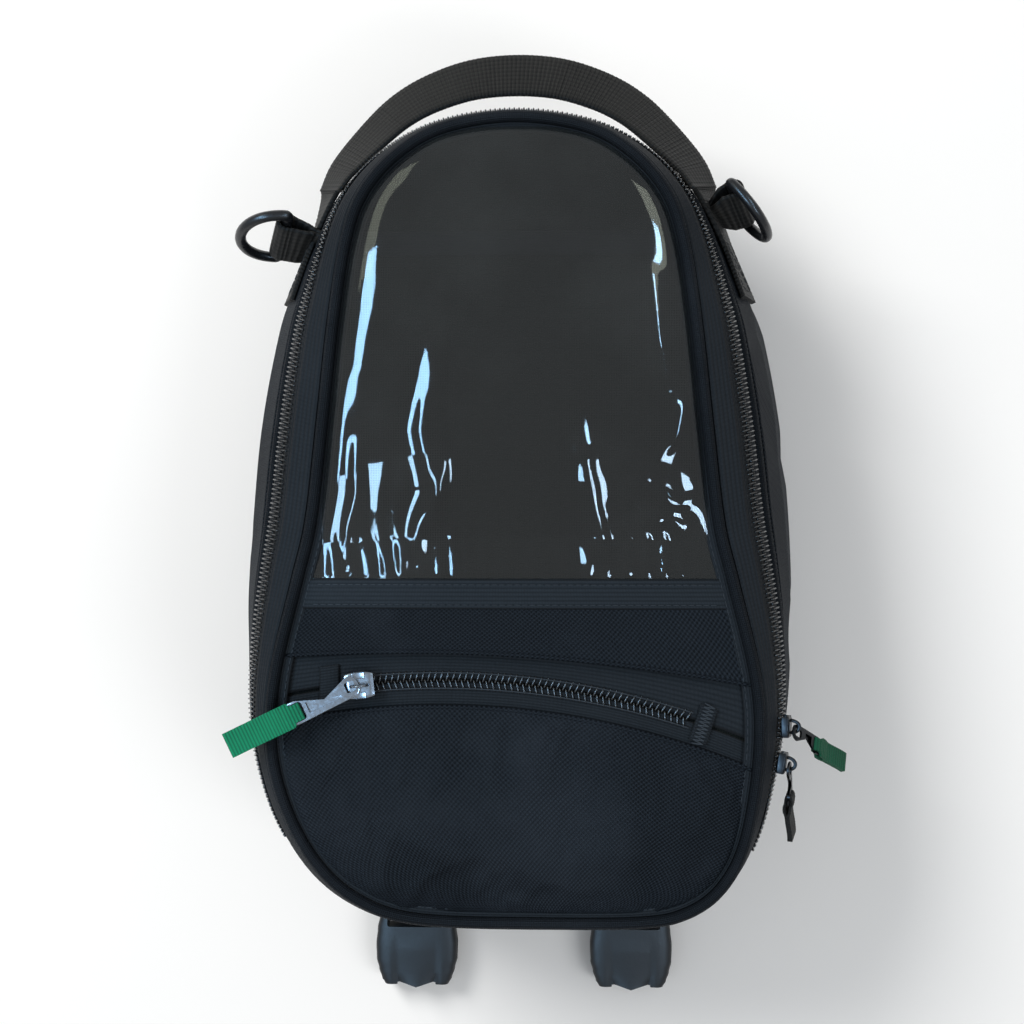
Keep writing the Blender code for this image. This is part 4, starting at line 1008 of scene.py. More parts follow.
def buildLid():
    line = [edgePoint(i / 720, 0.0, -bag["pipingRadius"], bag["lidSeam"]) for i in range(721)]
    bm = sweep(carried(line, (0, 0, 1)), circle(0.0022, 16), closed=True)
    for vert in bm.verts:
        vert.co += Vector((0, 0, ripple(*vert.co, 190, 0.00022)))
    finishPiece("lidPiping", bm, "pipingCloth", "lid", ["lid_piping"])

    def sideTape(u, v):
        return sidePoint(u, 0.1004 + 0.0039 * v, 0.0003 * (1 - v))

    bm = spread(480, 6, sideTape, (0.86, 0.006))
    facing(bm, fromBag)
    thicken(finishPiece("lidSideTape", bm, "ribTape", "lid", ["lid_gusset"]), 0.0010)

    # a flat hem inside the piping, which holds the clear sheet and the pocket
    def hem(u, v):
        reach = -0.0040 - 0.0042 * v
        return edgePoint(u, 0.0, reach, lid["rim"] + 0.0013 - 0.0006 * v + 0.0003 * math.sin(math.pi * v))

    bm = spread(560, 5, hem, (0.84, 0.0042))
    facing(bm, upwards)
    thicken(finishPiece("lidHem", bm, "ribTape", "lid"), 0.0006)
    row = [edgePoint(i / 700, 0.0, -0.0070, lid["rim"] + 0.0012) for i in range(701)]
    stitchRow("lidHemStitches", row, upwards, "lid")

    def back(u, v):
        edge = edgePoint(u, 0.0, -0.0062)
        x, y = edge.x * v, edge.y * v
        rise = 0.0004 * noise.noise(Vector((x * 30, y * 30, 0.0))) * (1 - v**4)
        return Vector((x, y, lid["backTop"] - 0.0004 + rise))

    bm = spread(240, 60, back, (0.8, 0.16))
    bmesh.ops.remove_doubles(bm, verts=bm.verts, dist=1e-6)
    pattern = bm.loops.layers.uv.active
    for face in bm.faces:
        for loop in face.loops:
            loop[pattern].uv = (loop.vert.co.x, loop.vert.co.y)
    facing(bm, upwards)
    thicken(finishPiece("lidBackPanel", bm, "backCloth", "lid", ["lid_back"]), 0.0008)

    for name, low, high, look, slot, node in (
        ("lidFoam", 0.0940, 0.0983, "foamGrey", "foam_grey", "lid_foam"),
        ("lidLining", 0.0927, 0.0935, "liningCloth", "lining_cloth", "lid_lining"),
    ):
        def slab(u, v, low=low, high=high):
            if v < 0.85:
                edge = edgePoint(u, 0.0, -0.0066)
                wave = 0.0003 * noise.noise(Vector((edge.x * v * 40, edge.y * v * 40, low * 90)))
                return Vector((edge.x * v / 0.85, edge.y * v / 0.85, low + abs(wave)))
            bend = math.pi * (v - 0.85) / 0.15
            edge = edgePoint(u, 0.0, -0.0066 + 0.0005 * math.sin(bend))
            edge.z = (low + high) / 2 - (high - low) / 2 * math.cos(bend)
            return edge

        bm = spread(240, 40, slab, (0.8, 0.17))
        bmesh.ops.remove_doubles(bm, verts=bm.verts, dist=1e-6)
        bmesh.ops.holes_fill(bm, edges=[e for e in bm.edges if e.is_boundary], sides=0)
        pattern = bm.loops.layers.uv.active
        for face in bm.faces:
            for loop in face.loops:
                loop[pattern].uv = (loop.vert.co.x, loop.vert.co.y)
        bmesh.ops.recalc_face_normals(bm, faces=bm.faces)
        piece = finishPiece(name, bm, look, "lid", [node])

    place = lidSpread(
        level(0.1050), level(0.1150), lid["inset"] + 0.004, lambda u, v, x,
        y: 0.1008 + 0.0003 * math.sin(math.pi * v)
    )
    bm = spread(120, 6, place, (0.14, 0.010))
    facing(bm, upwards)
    thicken(finishPiece("innerTape", bm, "ribTape", "lid", ["inner_tape"]), 0.0005)

    place = lidSpread(level(lid["windowLow"]), level(lid["windowHigh"]), lid["inset"], windowHeight)
    bm = spread(190, 200, place, (0.16, 0.18))
    facing(bm, upwards)
    window = finishPiece("clearWindow", bm, "clearVinyl", "lid", ["window_sheet"], angle=180)
    thicken(window, lid["windowSheet"])

    # the ribbed band over the sheet's lower seam, with two rows of stitches
    low, high = lid["windowLow"] - lid["bandHeight"], lid["windowLow"] + 0.0006

    def bandHeight(u, v, x, y):
        return lid["rim"] + 0.0004 + lid["stripBulge"] * dome(u) + 0.0003 * math.sin(math.pi * v) + ripple(
            x, y, 1.0, 60.0, 0.0002
        )

    place = lidSpread(level(low), level(high), lid["inset"], bandHeight)
    bm = spread(240, 10, place, (0.178, 0.0115))
    facing(bm, upwards)
    thicken(finishPiece("windowBand", bm, "bandTape", "lid", ["window_band"]), 0.0010)
    for name, share in (("bandStitchesLow", 0.14), ("bandStitchesHigh", 0.80)):
        row = [place(i / 60, share) + Vector((0, 0, 0.00012)) for i in range(2, 59)]
        stitchRow(name, row, upwards, "lid", pitch=0.0030, long=0.0022)


looks["bandTape"] = strapLook(
    "bandTape", (0.0006, 0.0012, 0.0020), (0.0100, 0.0135, 0.0185), 0.0016, 0.0012, 0.5, 0.68
)
buildLid()
print("lid built")

# ---- lid: front strip, pocket zip and pocket panel

pocket = {
    "zipRadius": 0.320,
    "zipX": -0.028,
    "zipY": -0.0640,
    "upperRadius": 0.700,
    "upperX": -0.040,
    "upperY": -0.0526,
    "lowerY": -0.0744,
    "tapeTop": 0.1009,
    "coilTop": 0.1010,
    "toothPitch": 0.0024,
    "toothWidth": 0.00100,
    "toothHeight": 0.0016,
    "sliderX": -0.0610,
    "zipRight": 0.0700,
    "panelBulge": 0.0075,
    "panelLow": -0.1568,
}


def zipArc(x, reach=0.0, z=0.0):
    angle = math.asin((x - pocket["zipX"]) / pocket["zipRadius"])
    radius = pocket["zipRadius"] + reach
    centreY = pocket["zipY"] - pocket["zipRadius"]
    along = Vector((math.cos(angle), -math.sin(angle), 0.0))
    out = Vector((math.sin(angle), math.cos(angle), 0.0))
    return Vector(
        (pocket["zipX"] + radius * math.sin(angle), centreY + radius * math.cos(angle), z)
    ), along, out


def swell(piece, pressure, frames, cap, pinned):  # blows a pinned sheet out into a soft swell, within a cap
    rest = [v.co.copy() for v in piece.data.vertices]
    pins = piece.vertex_groups.new(name="pins")
    pins.add([i for i, co in enumerate(rest) if pinned(co)], 1.0, "REPLACE")
    cloth = piece.modifiers.new("swell", "CLOTH")
    cloth.settings.quality = 6
    cloth.settings.mass = 0.15
    cloth.settings.tension_stiffness = 25
    cloth.settings.compression_stiffness = 12
    cloth.settings.shear_stiffness = 12
    cloth.settings.bending_stiffness = 0.15
    cloth.settings.shrink_min = -0.012
    cloth.settings.use_pressure = True
    cloth.settings.uniform_pressure_force = pressure
    cloth.settings.vertex_group_mass = "pins"
    cloth.settings.effector_weights.gravity = 0.0
    cloth.collision_settings.use_collision = False
    cloth.collision_settings.use_self_collision = False
    cloth.point_cache.frame_start, cloth.point_cache.frame_end = 1, frames
    for step in range(1, frames + 1):
        bpy.context.scene.frame_set(step)
    shaped = piece.evaluated_get(bpy.context.evaluated_depsgraph_get())
    moved = [v.co.copy() for v in shaped.data.vertices]
    piece.modifiers.remove(cloth)
    piece.vertex_groups.remove(pins)
    bpy.context.scene.frame_set(1)
    for vert, old, new in zip(piece.data.vertices, rest, moved):
        shift = new - old
        vert.co = old + shift * min(1.0, cap / max(shift.length, 1e-9))
    piece.data.update()
    return max((m - r).length for m, r in zip(moved, rest))


def buildPocket():
    upper = arc(pocket["upperRadius"], pocket["upperX"], pocket["upperY"])
    middle = arc(pocket["zipRadius"], pocket["zipX"], pocket["zipY"])
    lower = arc(pocket["zipRadius"], pocket["zipX"], pocket["lowerY"])
    bandLow = lid["windowLow"] - lid["bandHeight"]

    def stripHeight(u, v, x, y):
        roll = 0.0009 * math.exp(-v * 9)
        return lid["rim"] + 0.0002 + lid["stripBulge"] * dome(u) + roll + ripple(x, y, 3.0, 40.0, 0.0007) * math.sin(math.pi * min(max(v, 0.0), 1.0))

    place = lidSpread(upper, level(bandLow + 0.0010), lid["inset"], stripHeight)
    bm = spread(220, 26, place, (0.186, 0.024))
    facing(bm, upwards)
    thicken(finishPiece("frontStrip", bm, "panelCloth", "lid", ["front_strip"]), 0.0011)

    # the folded upper lip over the recess
    lip = [place(i / 120, 0.0) + Vector((0, 0.0002, -0.0004)) for i in range(121)]
    finishPiece(
        "stripFold", sweep(carried(lip, (0, 0, 1)), circle(0.0009, 8)), "panelCloth", "lid"
    )

    for name, low, high, node in (
        ("pocketTapeUpper", shifted(middle, 0.0006), shifted(upper, 0.0022), "pocket_tape_upper"),
        ("pocketTapeLower", shifted(lower, -0.0016), shifted(middle, -0.0006), "pocket_tape_lower"),
    ):
        place = lidSpread(
            low, high, lid["inset"], lambda u, v, x, y: pocket["tapeTop"] + ripple(x, y, 2.0, 50.0, 0.0002)
        )
        bm = spread(200, 8, place, (0.186, 0.011))
        facing(bm, upwards)
        thicken(finishPiece(name, bm, "ribTape", "lid", [node]), 0.0006)

    first, last = pocket["sliderX"] + 0.004, pocket["zipRight"]
    count = int((last - first) / pocket["toothPitch"])
    for name, way, node in (
        ("pocketTeethUpper", 1, "pocket_coil_upper"), ("pocketTeethLower", -1, "pocket_coil_lower")
    ):
        placements = []
        for i in range(count):
            x = first + (last - first) * (i + (0.5 if way > 0 else 0.0)) / count
            at, along, out = zipArc(x, way * 0.0017, pocket["coilTop"] + 0.0002)
            lean = (out * way + along * 0.30).normalized()
            side = Vector((0, 0, 1)).cross(lean)
            placements.append(placing(lean, side, Vector((0, 0, 1)), at))
        seed = seedShape(0.0046, pocket["toothWidth"], pocket["toothHeight"], 10, 6)
        finishPiece(name, scatter(seed, placements), "coilNylon", "lid", [node])
    # the thread that sews each row to its tape
    for name, way in (("pocketCordUpper", 1), ("pocketCordLower", -1)):
        line = [zipArc(first + (last - first) * i / 120, way * 0.0031, pocket["coilTop"] + 0.0009)[0] for i in range(121)]
        finishPiece(name, sweep(carried(line, (0, 0, 1)), circle(0.00028, 6)), "thread", "lid")

    def panelHeight(u, v, x, y):
        full = dome(u, 0.5) * math.sin(math.pi * max(v, 0.0) ** 0.8) ** 0.7 if 0 < v < 1 else 0.0
        roll = 0.0010 * math.exp(-(1 - v) * 14)
        return lid["rim"] + 0.0002 + pocket["panelBulge"] * full * 0.86 + roll + ripple(
            x, y, 0.0, 18.0, 0.0012
        ) * min(full * 2, 1.0)

    place = lidSpread(level(pocket["panelLow"]), lower, lid["inset"], panelHeight)
    bm = spread(130, 76, place, (0.186, 0.083))
    facing(bm, upwards)
    panel = finishPiece("pocketPanel", bm, "panelCloth", "lid", ["pocket_panel"], angle=180)
    edges = [
        place(i / 60, s) for i in range(61) for s in (0.0, 1.0)
    ] + [place(s, i / 60) for i in range(61) for s in (0.0, 1.0)]
    print(
        "pocket panel moved",
        round(
            swell(panel, 0.8, 12, 0.0018, lambda co: min((co - e).length for e in edges) < 0.0022) * 1000,
            2
        ),
        "mm"
    )
    thicken(panel, 0.0011)
    lip = [place(i / 140, 1.0) + Vector((0, -0.0002, -0.0004)) for i in range(141)]
    finishPiece(
        "panelFold", sweep(carried(lip, (0, 0, 1)), circle(0.0010, 8)), "panelCloth", "lid"
    )

    # closed ends of the pocket zip: a folded corner on the left, a stitched stop on the right
    at, along, out = zipArc(-0.0745, 0.0012, lid["rim"])

    def corner(u, v):
        x, y = (u - 0.5) * 0.0080, (v - 0.5) * 0.0150
        return at + along * (x + 0.002 * v) + out * y + Vector(
            (0, 0, 0.0002 + 0.0005 * (1 - abs(2 * u - 1) ** 4) + 0.0003 * math.sin(6 * v))
        )

    bm = spread(16, 24, corner, (0.008, 0.015))
    facing(bm, upwards)
    thicken(finishPiece("pocketEndLeft", bm, "ribTape", "lid", ["pocket_end_left"]), 0.0009)
    stopAt, stopAlong, stopOut = zipArc(0.0750, 0.0, lid["rim"])

    def stop(u, v):
        return stopAt + stopAlong * (u - 0.5) * 0.0070 + stopOut * (v - 0.5) * 0.0150 + Vector((0, 0, 0.0002))

    bm = spread(10, 20, stop, (0.007, 0.015))
    facing(bm, upwards)
    thicken(finishPiece("pocketEndRight", bm, "ribTape", "lid", ["pocket_end_right"]), 0.0008)
    zigzag = []
    for i in range(23):
        zigzag.append(stopAt + stopAlong * (0.0022 if i % 2 else -0.0022) + stopOut * (i / 22 - 0.5) * 0.0165 + Vector((0, 0, 0.0006)))
    rows = []
    for a, b in zip(zigzag, zigzag[1:]):
        way = (b - a).normalized()
        rows.append(placing(way, Vector((0, 0, 1)).cross(way), Vector((0, 0, 1)), (a + b) / 2))
    finishPiece(
        "pocketBarTack", scatter(seedShape(0.0046, 0.0007, 0.0005, 6, 4), rows), "thread", "lid"
    )


buildPocket()
print("pocket built")

# ---- straps: carry handle, its sewn ends, the chapes of the rings and the buckles

straps = {
    "width": 0.0250,
    "thick": 0.0019,
    "ribPitch": 0.0017,
    "ribDepth": 0.00042,
    "handleLow": 0.0720,
    "patchFrom": 0.0900,
    "patchTo": 0.1363,
    "freeFrom": 0.1080,
    "patchLow": 0.0600,
    "patchHigh": 0.0810,
}


def handleFrames():
    half = [
        (0.0815, 0.1365), (0.0765, 0.148), (0.0655, 0.162), (0.0530, 0.1745), (0.0385, 0.1835),
        (0.0200, 0.1900), (0.0, 0.1920)
    ]
    whole = [(0.0855, 0.1265), *half, *[(-x, y) for x, y in reversed(half[:-1])], (-0.0855, 0.1265)]
    line = evenly(smoothLine([Vector((x, y, 0.0)) for x, y in whole]), 960)
    frames = []
    for i, point in enumerate(line):
        along = (line[min(i + 1, 960)] - line[max(i - 1, 0)]).normalized()
        inward = Vector((along.y, -along.x, 0.0))
        if inward.dot(Vector((0, 0.11, 0)) - point) < 0:
            inward.negate()
        share = abs(math.sin(math.pi * i / 960)) ** 0.6
        lean = math.asin(0.80 * share + 0.45 * (1 - share))
        across = inward * math.sin(lean) + Vector((0, 0, math.cos(lean)))
        low = Vector((point.x, point.y, straps["handleLow"]))
        out = across.cross(along).normalized()
        if out.dot(inward) > 0:
            out.negate()
        frames.append((low + across * straps["width"] / 2 + out * 0.0003, across, out))
    return frames


def buildStraps():
    handle = handleFrames()
    bm = ribbed(
        handle, strapSection(straps["width"], straps["thick"], 12), straps["ribPitch"], straps["ribDepth"]
    )
    finishPiece("carryHandle", bm, "handleStrap", "handle", ["carry_handle"])
    for side, label in ((-1, "Left"), (1, "Right")):
        endPlace, endAcross, endOut = handle[-1] if side < 0 else handle[0]
        frames = []
        for i in range(141):
            y = straps["patchFrom"] + (straps["patchTo"] - straps["patchFrom"]) * i / 140
            low = sideSpot(y, straps["patchLow"], side)
            high = sideSpot(y, straps["patchHigh"], side)
            ahead = sideSpot(
                y + 0.001, (straps["patchLow"] + straps["patchHigh"]) / 2, side
            ) - sideSpot(y - 0.001, (straps["patchLow"] + straps["patchHigh"]) / 2, side)
            across = (high - low).normalized()
            out = ahead.cross(across).normalized()
            if out.x * side < 0:
                out.negate()
            freed = min(max((y - straps["freeFrom"]) / (straps["patchTo"] - straps["freeFrom"]), 0.0), 1.0)
            freed = freed * freed * (3 - 2 * freed)
            place = ((low + high) / 2 + out * 0.0014).lerp(endPlace, freed)
            across = across.lerp(endAcross, freed).normalized() * (0.94 + 0.06 * freed)
            frames.append((place, across, out.lerp(endOut, freed).normalized()))
        bm = ribbed(
            frames, strapSection(straps["width"], straps["thick"], 12), straps["ribPitch"], straps["ribDepth"]
        )
        finishPiece(
            f"handleEnd{label}", bm, "handleStrap", "tub", [f"handle_patch_{label.lower()}"]
        )
        box = []
        for du, dv in ((-0.9, -0.8), (0.9, -0.8), (0.9, 0.8), (-0.9, 0.8), (-0.9, -0.8), (0.9, 0.8)):
            here, across, out = frames[round(38 + du * 30)]
            box.append(here + across * dv * 0.0100 + out * 0.0012)
        dense = [a.lerp(b, i / 20) for a, b in zip(box, box[1:]) for i in range(20)]
        stitchRow(f"handleStitches{label}", dense, fromBag, "tub")


def sideSpot(y, z, side):
    return sidePoint(turnAt(y, side, z), z)


buildStraps()
print("straps built")

# ---- rings on their chapes

rings = {
    "bar": 0.0270,
    "reach": 0.0165,
    "rod": 0.0023,
    "height": 0.0750,
    "proud": 0.0130,
    "chapeThick": 0.0015,
    "chapeWidth": 0.0238,
    # side, y of the chape, the bar's way, the way the bow points, and the width kept at the wall
    "places": (
        ("Left", -1, 0.1120, (0.30, 0.40, 0.87), (-1.0, -0.10, 0.10), 1.0),
        ("Right", 1, 0.1230, (-0.30, 0.40, 0.87), (0.62, -0.74, 0.30), 0.60),
    ),
}


def buildRings():
    for label, side, y, barWay, bowWay, kept in rings["places"]:
        foot = sideSpot(y, rings["height"], side)
        out = sideFrame(turnAt(y, side, rings["height"]), rings["height"])[3]
        middle = foot + out * rings["proud"]
        bar = Vector(barWay).normalized()
        reach = (Vector(bowWay) - bar * bar.dot(Vector(bowWay))).normalized()
        half = rings["bar"] / 2 + rings["rod"]
        points = []
        for i in range(24):
            points.append((-half * 0.93 + 2 * half * 0.93 * i / 23, 0.0))
        for i in range(61):
            angle = math.pi * i / 60
            points.append((half * math.cos(angle), 0.0010 + rings["reach"] * math.sin(angle) ** 0.9))
        line = evenly(
            [middle + bar * a + reach * b for a, b in points] + [middle - bar * half * 0.93], 200
        )[:-1]
        flat = bar.cross(reach)
        frames = carried(line + line[:1], flat, closed=False)
        oval = [(x * 1.0, y * 0.94) for x, y in circle(rings["rod"], 16)]
        bm = sweep(frames, oval, closed=True)
        finishPiece(
            f"dRing{label}", bm, "ringAcetal", f"ring_{label.lower()}",
            [f"d_ring_{label.lower()}"]
        )

        back = ((foot - middle) - bar * bar.dot(foot - middle)).normalized()
        away = bar.cross(back)
        clear = rings["rod"] + 0.0005 + rings["chapeThick"] / 2
        tail = rings["proud"] - 0.0030
        loop = [
            (tail, rings["chapeThick"] * 0.55), (tail * 0.8, rings["chapeThick"] * 0.6),
            (tail * 0.62, clear * 0.55)
        ]
        loop += [
            (clear * math.cos(math.radians(a)), clear * math.sin(math.radians(a))) for a in range(62, 299, 12)
        ]
        loop += [
            (tail * 0.62, -clear * 0.55), (tail * 0.8, -rings["chapeThick"] * 0.6),
            (tail, -rings["chapeThick"] * 0.55)
        ]
        path = smoothLine(
            [(2 * loop[0][0] - loop[1][0], loop[0][1], 0)] + [(a, b, 0) for a, b in loop] + [
                (2 * loop[-1][0] - loop[-2][0], loop[-1][1], 0)
            ],
            6
        )
        path = evenly([middle + back * p.x + away * p.y for p in path], 170)
        frames = []
        for i, point in enumerate(path):
            along = (path[min(i + 1, 170)] - path[max(i - 1, 0)]).normalized()
            frames.append((point, bar, along.cross(bar).normalized()))
        bm = ribbed(
            frames, strapSection(rings["chapeWidth"], rings["chapeThick"], 10), straps["ribPitch"], 0.00022
        )
        for vert in bm.verts:  # past the fold, each end is drawn in to meet the wall
            depth = (vert.co - middle).dot(back)
            if depth > tail * 0.35:
                spot = sideSpot(vert.co.y, min(max(vert.co.z, 0.062), 0.0885), side)
                wall = (spot - middle).dot(back) + 0.0006
                pull = (depth - tail * 0.35) / (tail * 0.65)
                vert.co += back * (wall - tail) * min(max(pull, 0.0), 1.0)
            depth = (vert.co - middle).dot(back)
            narrow = 1 - (1 - kept) * min(max((depth - 0.0052) / 0.0060, 0.0), 1.0)
            vert.co += bar * (vert.co - middle).dot(bar) * (narrow - 1)
        finishPiece(
            f"ringChape{label}", bm, "handleStrap", "tub", [f"ring_chape_{label.lower()}"]
        )
        row = [middle + back * tail * 0.45 + away * (rings["chapeThick"] * 1.12) + bar * (i / 20 - 0.5) * 0.0200 for i in range(21)]
        stitchRow(
            f"ringStitches{label}", row, lambda m, w=away: w, "tub", pitch=0.0025, long=0.0019
        )


buildRings()
print("rings built")

# ---- buckle sockets on their straps, at the strap end

socket = {
    "spacing": 0.0970,
    "y": -0.2120,
    "low": 0.0010,
    "width": 0.0370,
    "length": 0.0360,
    "height": 0.0120,
    "bar": 0.0036,
    "barHeight": 0.0042,
    "slot": 0.0052,
    "wall": 0.0018,
}


def carve(piece, cutters):  # cuts closed shapes out of a piece and keeps the result as its mesh
    for bm in cutters:
        mesh = bpy.data.meshes.new("cutter")
        bm.to_mesh(mesh)
        bm.free()
        cutter = bpy.data.objects.new("cutter", mesh)
        bpy.context.scene.collection.objects.link(cutter)
        hole = piece.modifiers.new("hole", "BOOLEAN")
        hole.operation, hole.solver, hole.object = "DIFFERENCE", "EXACT", cutter
        shaped = bpy.data.meshes.new_from_object(piece.evaluated_get(bpy.context.evaluated_depsgraph_get()))
        piece.modifiers.remove(hole)
        piece.data = shaped
        bpy.data.objects.remove(cutter)
    return piece


def roundedBlock(size, at, bevel, segments=3):
    bm = bmesh.new()
    bmesh.ops.create_cube(bm, size=1.0)
    bmesh.ops.scale(bm, verts=bm.verts, vec=size)
    bmesh.ops.bevel(
        bm, geom=bm.edges[:], offset=bevel, segments=segments, affect="EDGES", profile=0.5, material=-1
    )
    bmesh.ops.translate(bm, verts=bm.verts, vec=at)
    return bm


def softEdges(piece, width, segments=2, angle=35.0):
    bevel = piece.modifiers.new("softEdges", "BEVEL")
    bevel.width = width
    bevel.segments = segments
    bevel.limit_method = "ANGLE"
    bevel.angle_limit = math.radians(angle)
    piece.data.shade_smooth()
    piece.data.set_sharp_from_angle(angle=math.radians(angle))
    return piece


def buildSockets():
    for side, label in ((-1, "Left"), (1, "Right")):
        x0 = side * socket["spacing"] / 2
        z0 = socket["low"] + socket["height"] / 2
        half, tall, long = socket["width"] / 2, socket["height"] / 2, socket["length"]
        # half widths along the case, from the mouth to the bar
        waist = (
            (0.0, 0.78), (0.06, 0.86), (0.16, 0.93), (0.30, 0.99), (0.50, 1.0), (0.70, 0.965), (0.86, 0.91),
            (0.96, 0.88), (1.0, 0.85)
        )

        def wide(v):
            for (a, p), (b, q) in zip(waist, waist[1:]):
                if v <= b:
                    share = (v - a) / (b - a)
                    share = share * share * (3 - 2 * share)
                    return p + (q - p) * share
            return waist[-1][1]

        def case(u, v):
            row = round(v * 42)
            v = min(max((row - 1) / 40, 0.0), 1.0)
            angle = 2 * math.pi * (u % 1.0)
            c, s = math.cos(angle), math.sin(angle)
            w, h = half * wide(v), tall * (0.86 + 0.10 * math.sin(math.pi * v))
            inner = 0.0 if row in (0, 42) else 1.0
            px = w * math.copysign(abs(c) ** 0.36, c) * inner
            pz = h * math.copysign(abs(s) ** 0.50, s) * inner
            ridge = math.exp(-((px / (half * 0.34)) ** 4)) * min(1.0, max(0.0, (0.62 - v) * 6))
            pz += math.copysign(0.0011 * ridge, s) * abs(s) * inner
            scoop = math.exp(-(((abs(px) - half * 0.44) / (half * 0.10)) ** 2)) * max(0.0, 1 - v / 0.62)
            pz -= math.copysign(0.0013 * scoop, s) * abs(s) * inner
            lobes = 0.0021 * math.exp(-((px / (half * 0.27)) ** 4)) + 0.0012 * math.exp(
                -(((abs(px) - half * 0.70) / (half * 0.20)) ** 4)
            )
            tongue = lobes * max(0.0, 1 - v * 3)
            return Vector((x0 + px, socket["y"] + 0.0022 + (long - 0.0022) * v - tongue, z0 + pz))

        bm = spread(72, 42, case, (0.09, 0.036))
        bmesh.ops.remove_doubles(bm, verts=bm.verts, dist=1e-6)
        bmesh.ops.recalc_face_normals(bm, faces=bm.faces)
        piece = finishPiece(
            f"buckleSocket{label}", bm, "buckleAcetal", None, [f"buckle_{label.lower()}"]
        )
        front = socket["y"]
        barFront = front + long - socket["bar"]
        room = socket["height"] - 2 * socket["wall"]
        high = (socket["barHeight"] + socket["height"]) / 2 + 0.002
        barY = front + long - socket["bar"] / 2
        carve(piece, [
            roundedBlock((0.0275, 0.0292, room - 0.0006), (x0, front + 0.0100, z0), 0.0012),
            roundedBlock((0.0500, 0.0100, 0.0042), (x0, front + 0.0165, z0), 0.0010),
            roundedBlock((0.0262, socket["slot"], 0.03), (x0, barFront - socket["slot"] / 2, z0), 0.0008),
            roundedBlock(
                (0.0262, 0.0140, socket["height"] + 0.004), (x0, barFront + 0.0066, z0 + high), 0.0006
            ),
            roundedBlock(
                (0.0262, 0.0140, socket["height"] + 0.004), (x0, barFront + 0.0066, z0 - high), 0.0006
            ),
        ])
        softEdges(piece, 0.0004)
        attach(piece, f"socket_{label.lower()}")

        thick = 0.0015
        clear = math.hypot(socket["bar"], socket["barHeight"]) / 2 + 0.0006 + thick / 2
        reach = -0.1648 - barY
        loop = [(reach, thick * 0.52), (reach * 0.75, thick * 0.56), (reach * 0.5, clear * 0.62)]
        loop += [
            (clear * math.cos(math.radians(a)), clear * math.sin(math.radians(a))) for a in range(66, 295, 12)
        ]
        loop += [(reach * 0.5, -clear * 0.62), (reach * 0.75, -thick * 0.56), (reach, -thick * 0.52)]
        path = smoothLine(
            [(2 * loop[0][0] - loop[1][0], loop[0][1], 0)] + [(a, b, 0) for a, b in loop] + [
                (2 * loop[-1][0] - loop[-2][0], loop[-1][1], 0)
            ],
            6
        )
        path = evenly([Vector((x0, barY + p.x, z0 + p.y)) for p in path], 190)
        frames = []
        for i, point in enumerate(path):
            along = (path[min(i + 1, 190)] - path[max(i - 1, 0)]).normalized()
            frames.append((point, Vector((1, 0, 0)), along.cross(Vector((1, 0, 0))).normalized()))
        bm = ribbed(frames, strapSection(0.0238, thick, 10), straps["ribPitch"], 0.00022)
        finishPiece(
            f"buckleStrap{label}", bm, "handleStrap", "tub", [f"buckle_strap_{label.lower()}"]
        )


buildSockets()
print("buckles built")

# ---- zip sliders with their pulls and straps

sliders = {
    "mainHeight": 0.0958,
    "length": 0.0115,
    "width": 0.0110,
    "height": 0.0048,
    "archRise": 0.0042,
    "archHalf": 0.30,
    "pullThick": 0.0010,
    "eye": 0.0020,
    "rim": 0.0014,
    "hole": 0.0031,
    "end": 0.0020,
    "mainScale": 0.72,
    "mainClear": 0.0016,
}


def upright(forward, up):
    y = Vector(forward).normalized()
    x = y.cross(Vector(up)).normalized()
    return Matrix((x, y, x.cross(y))).transposed()


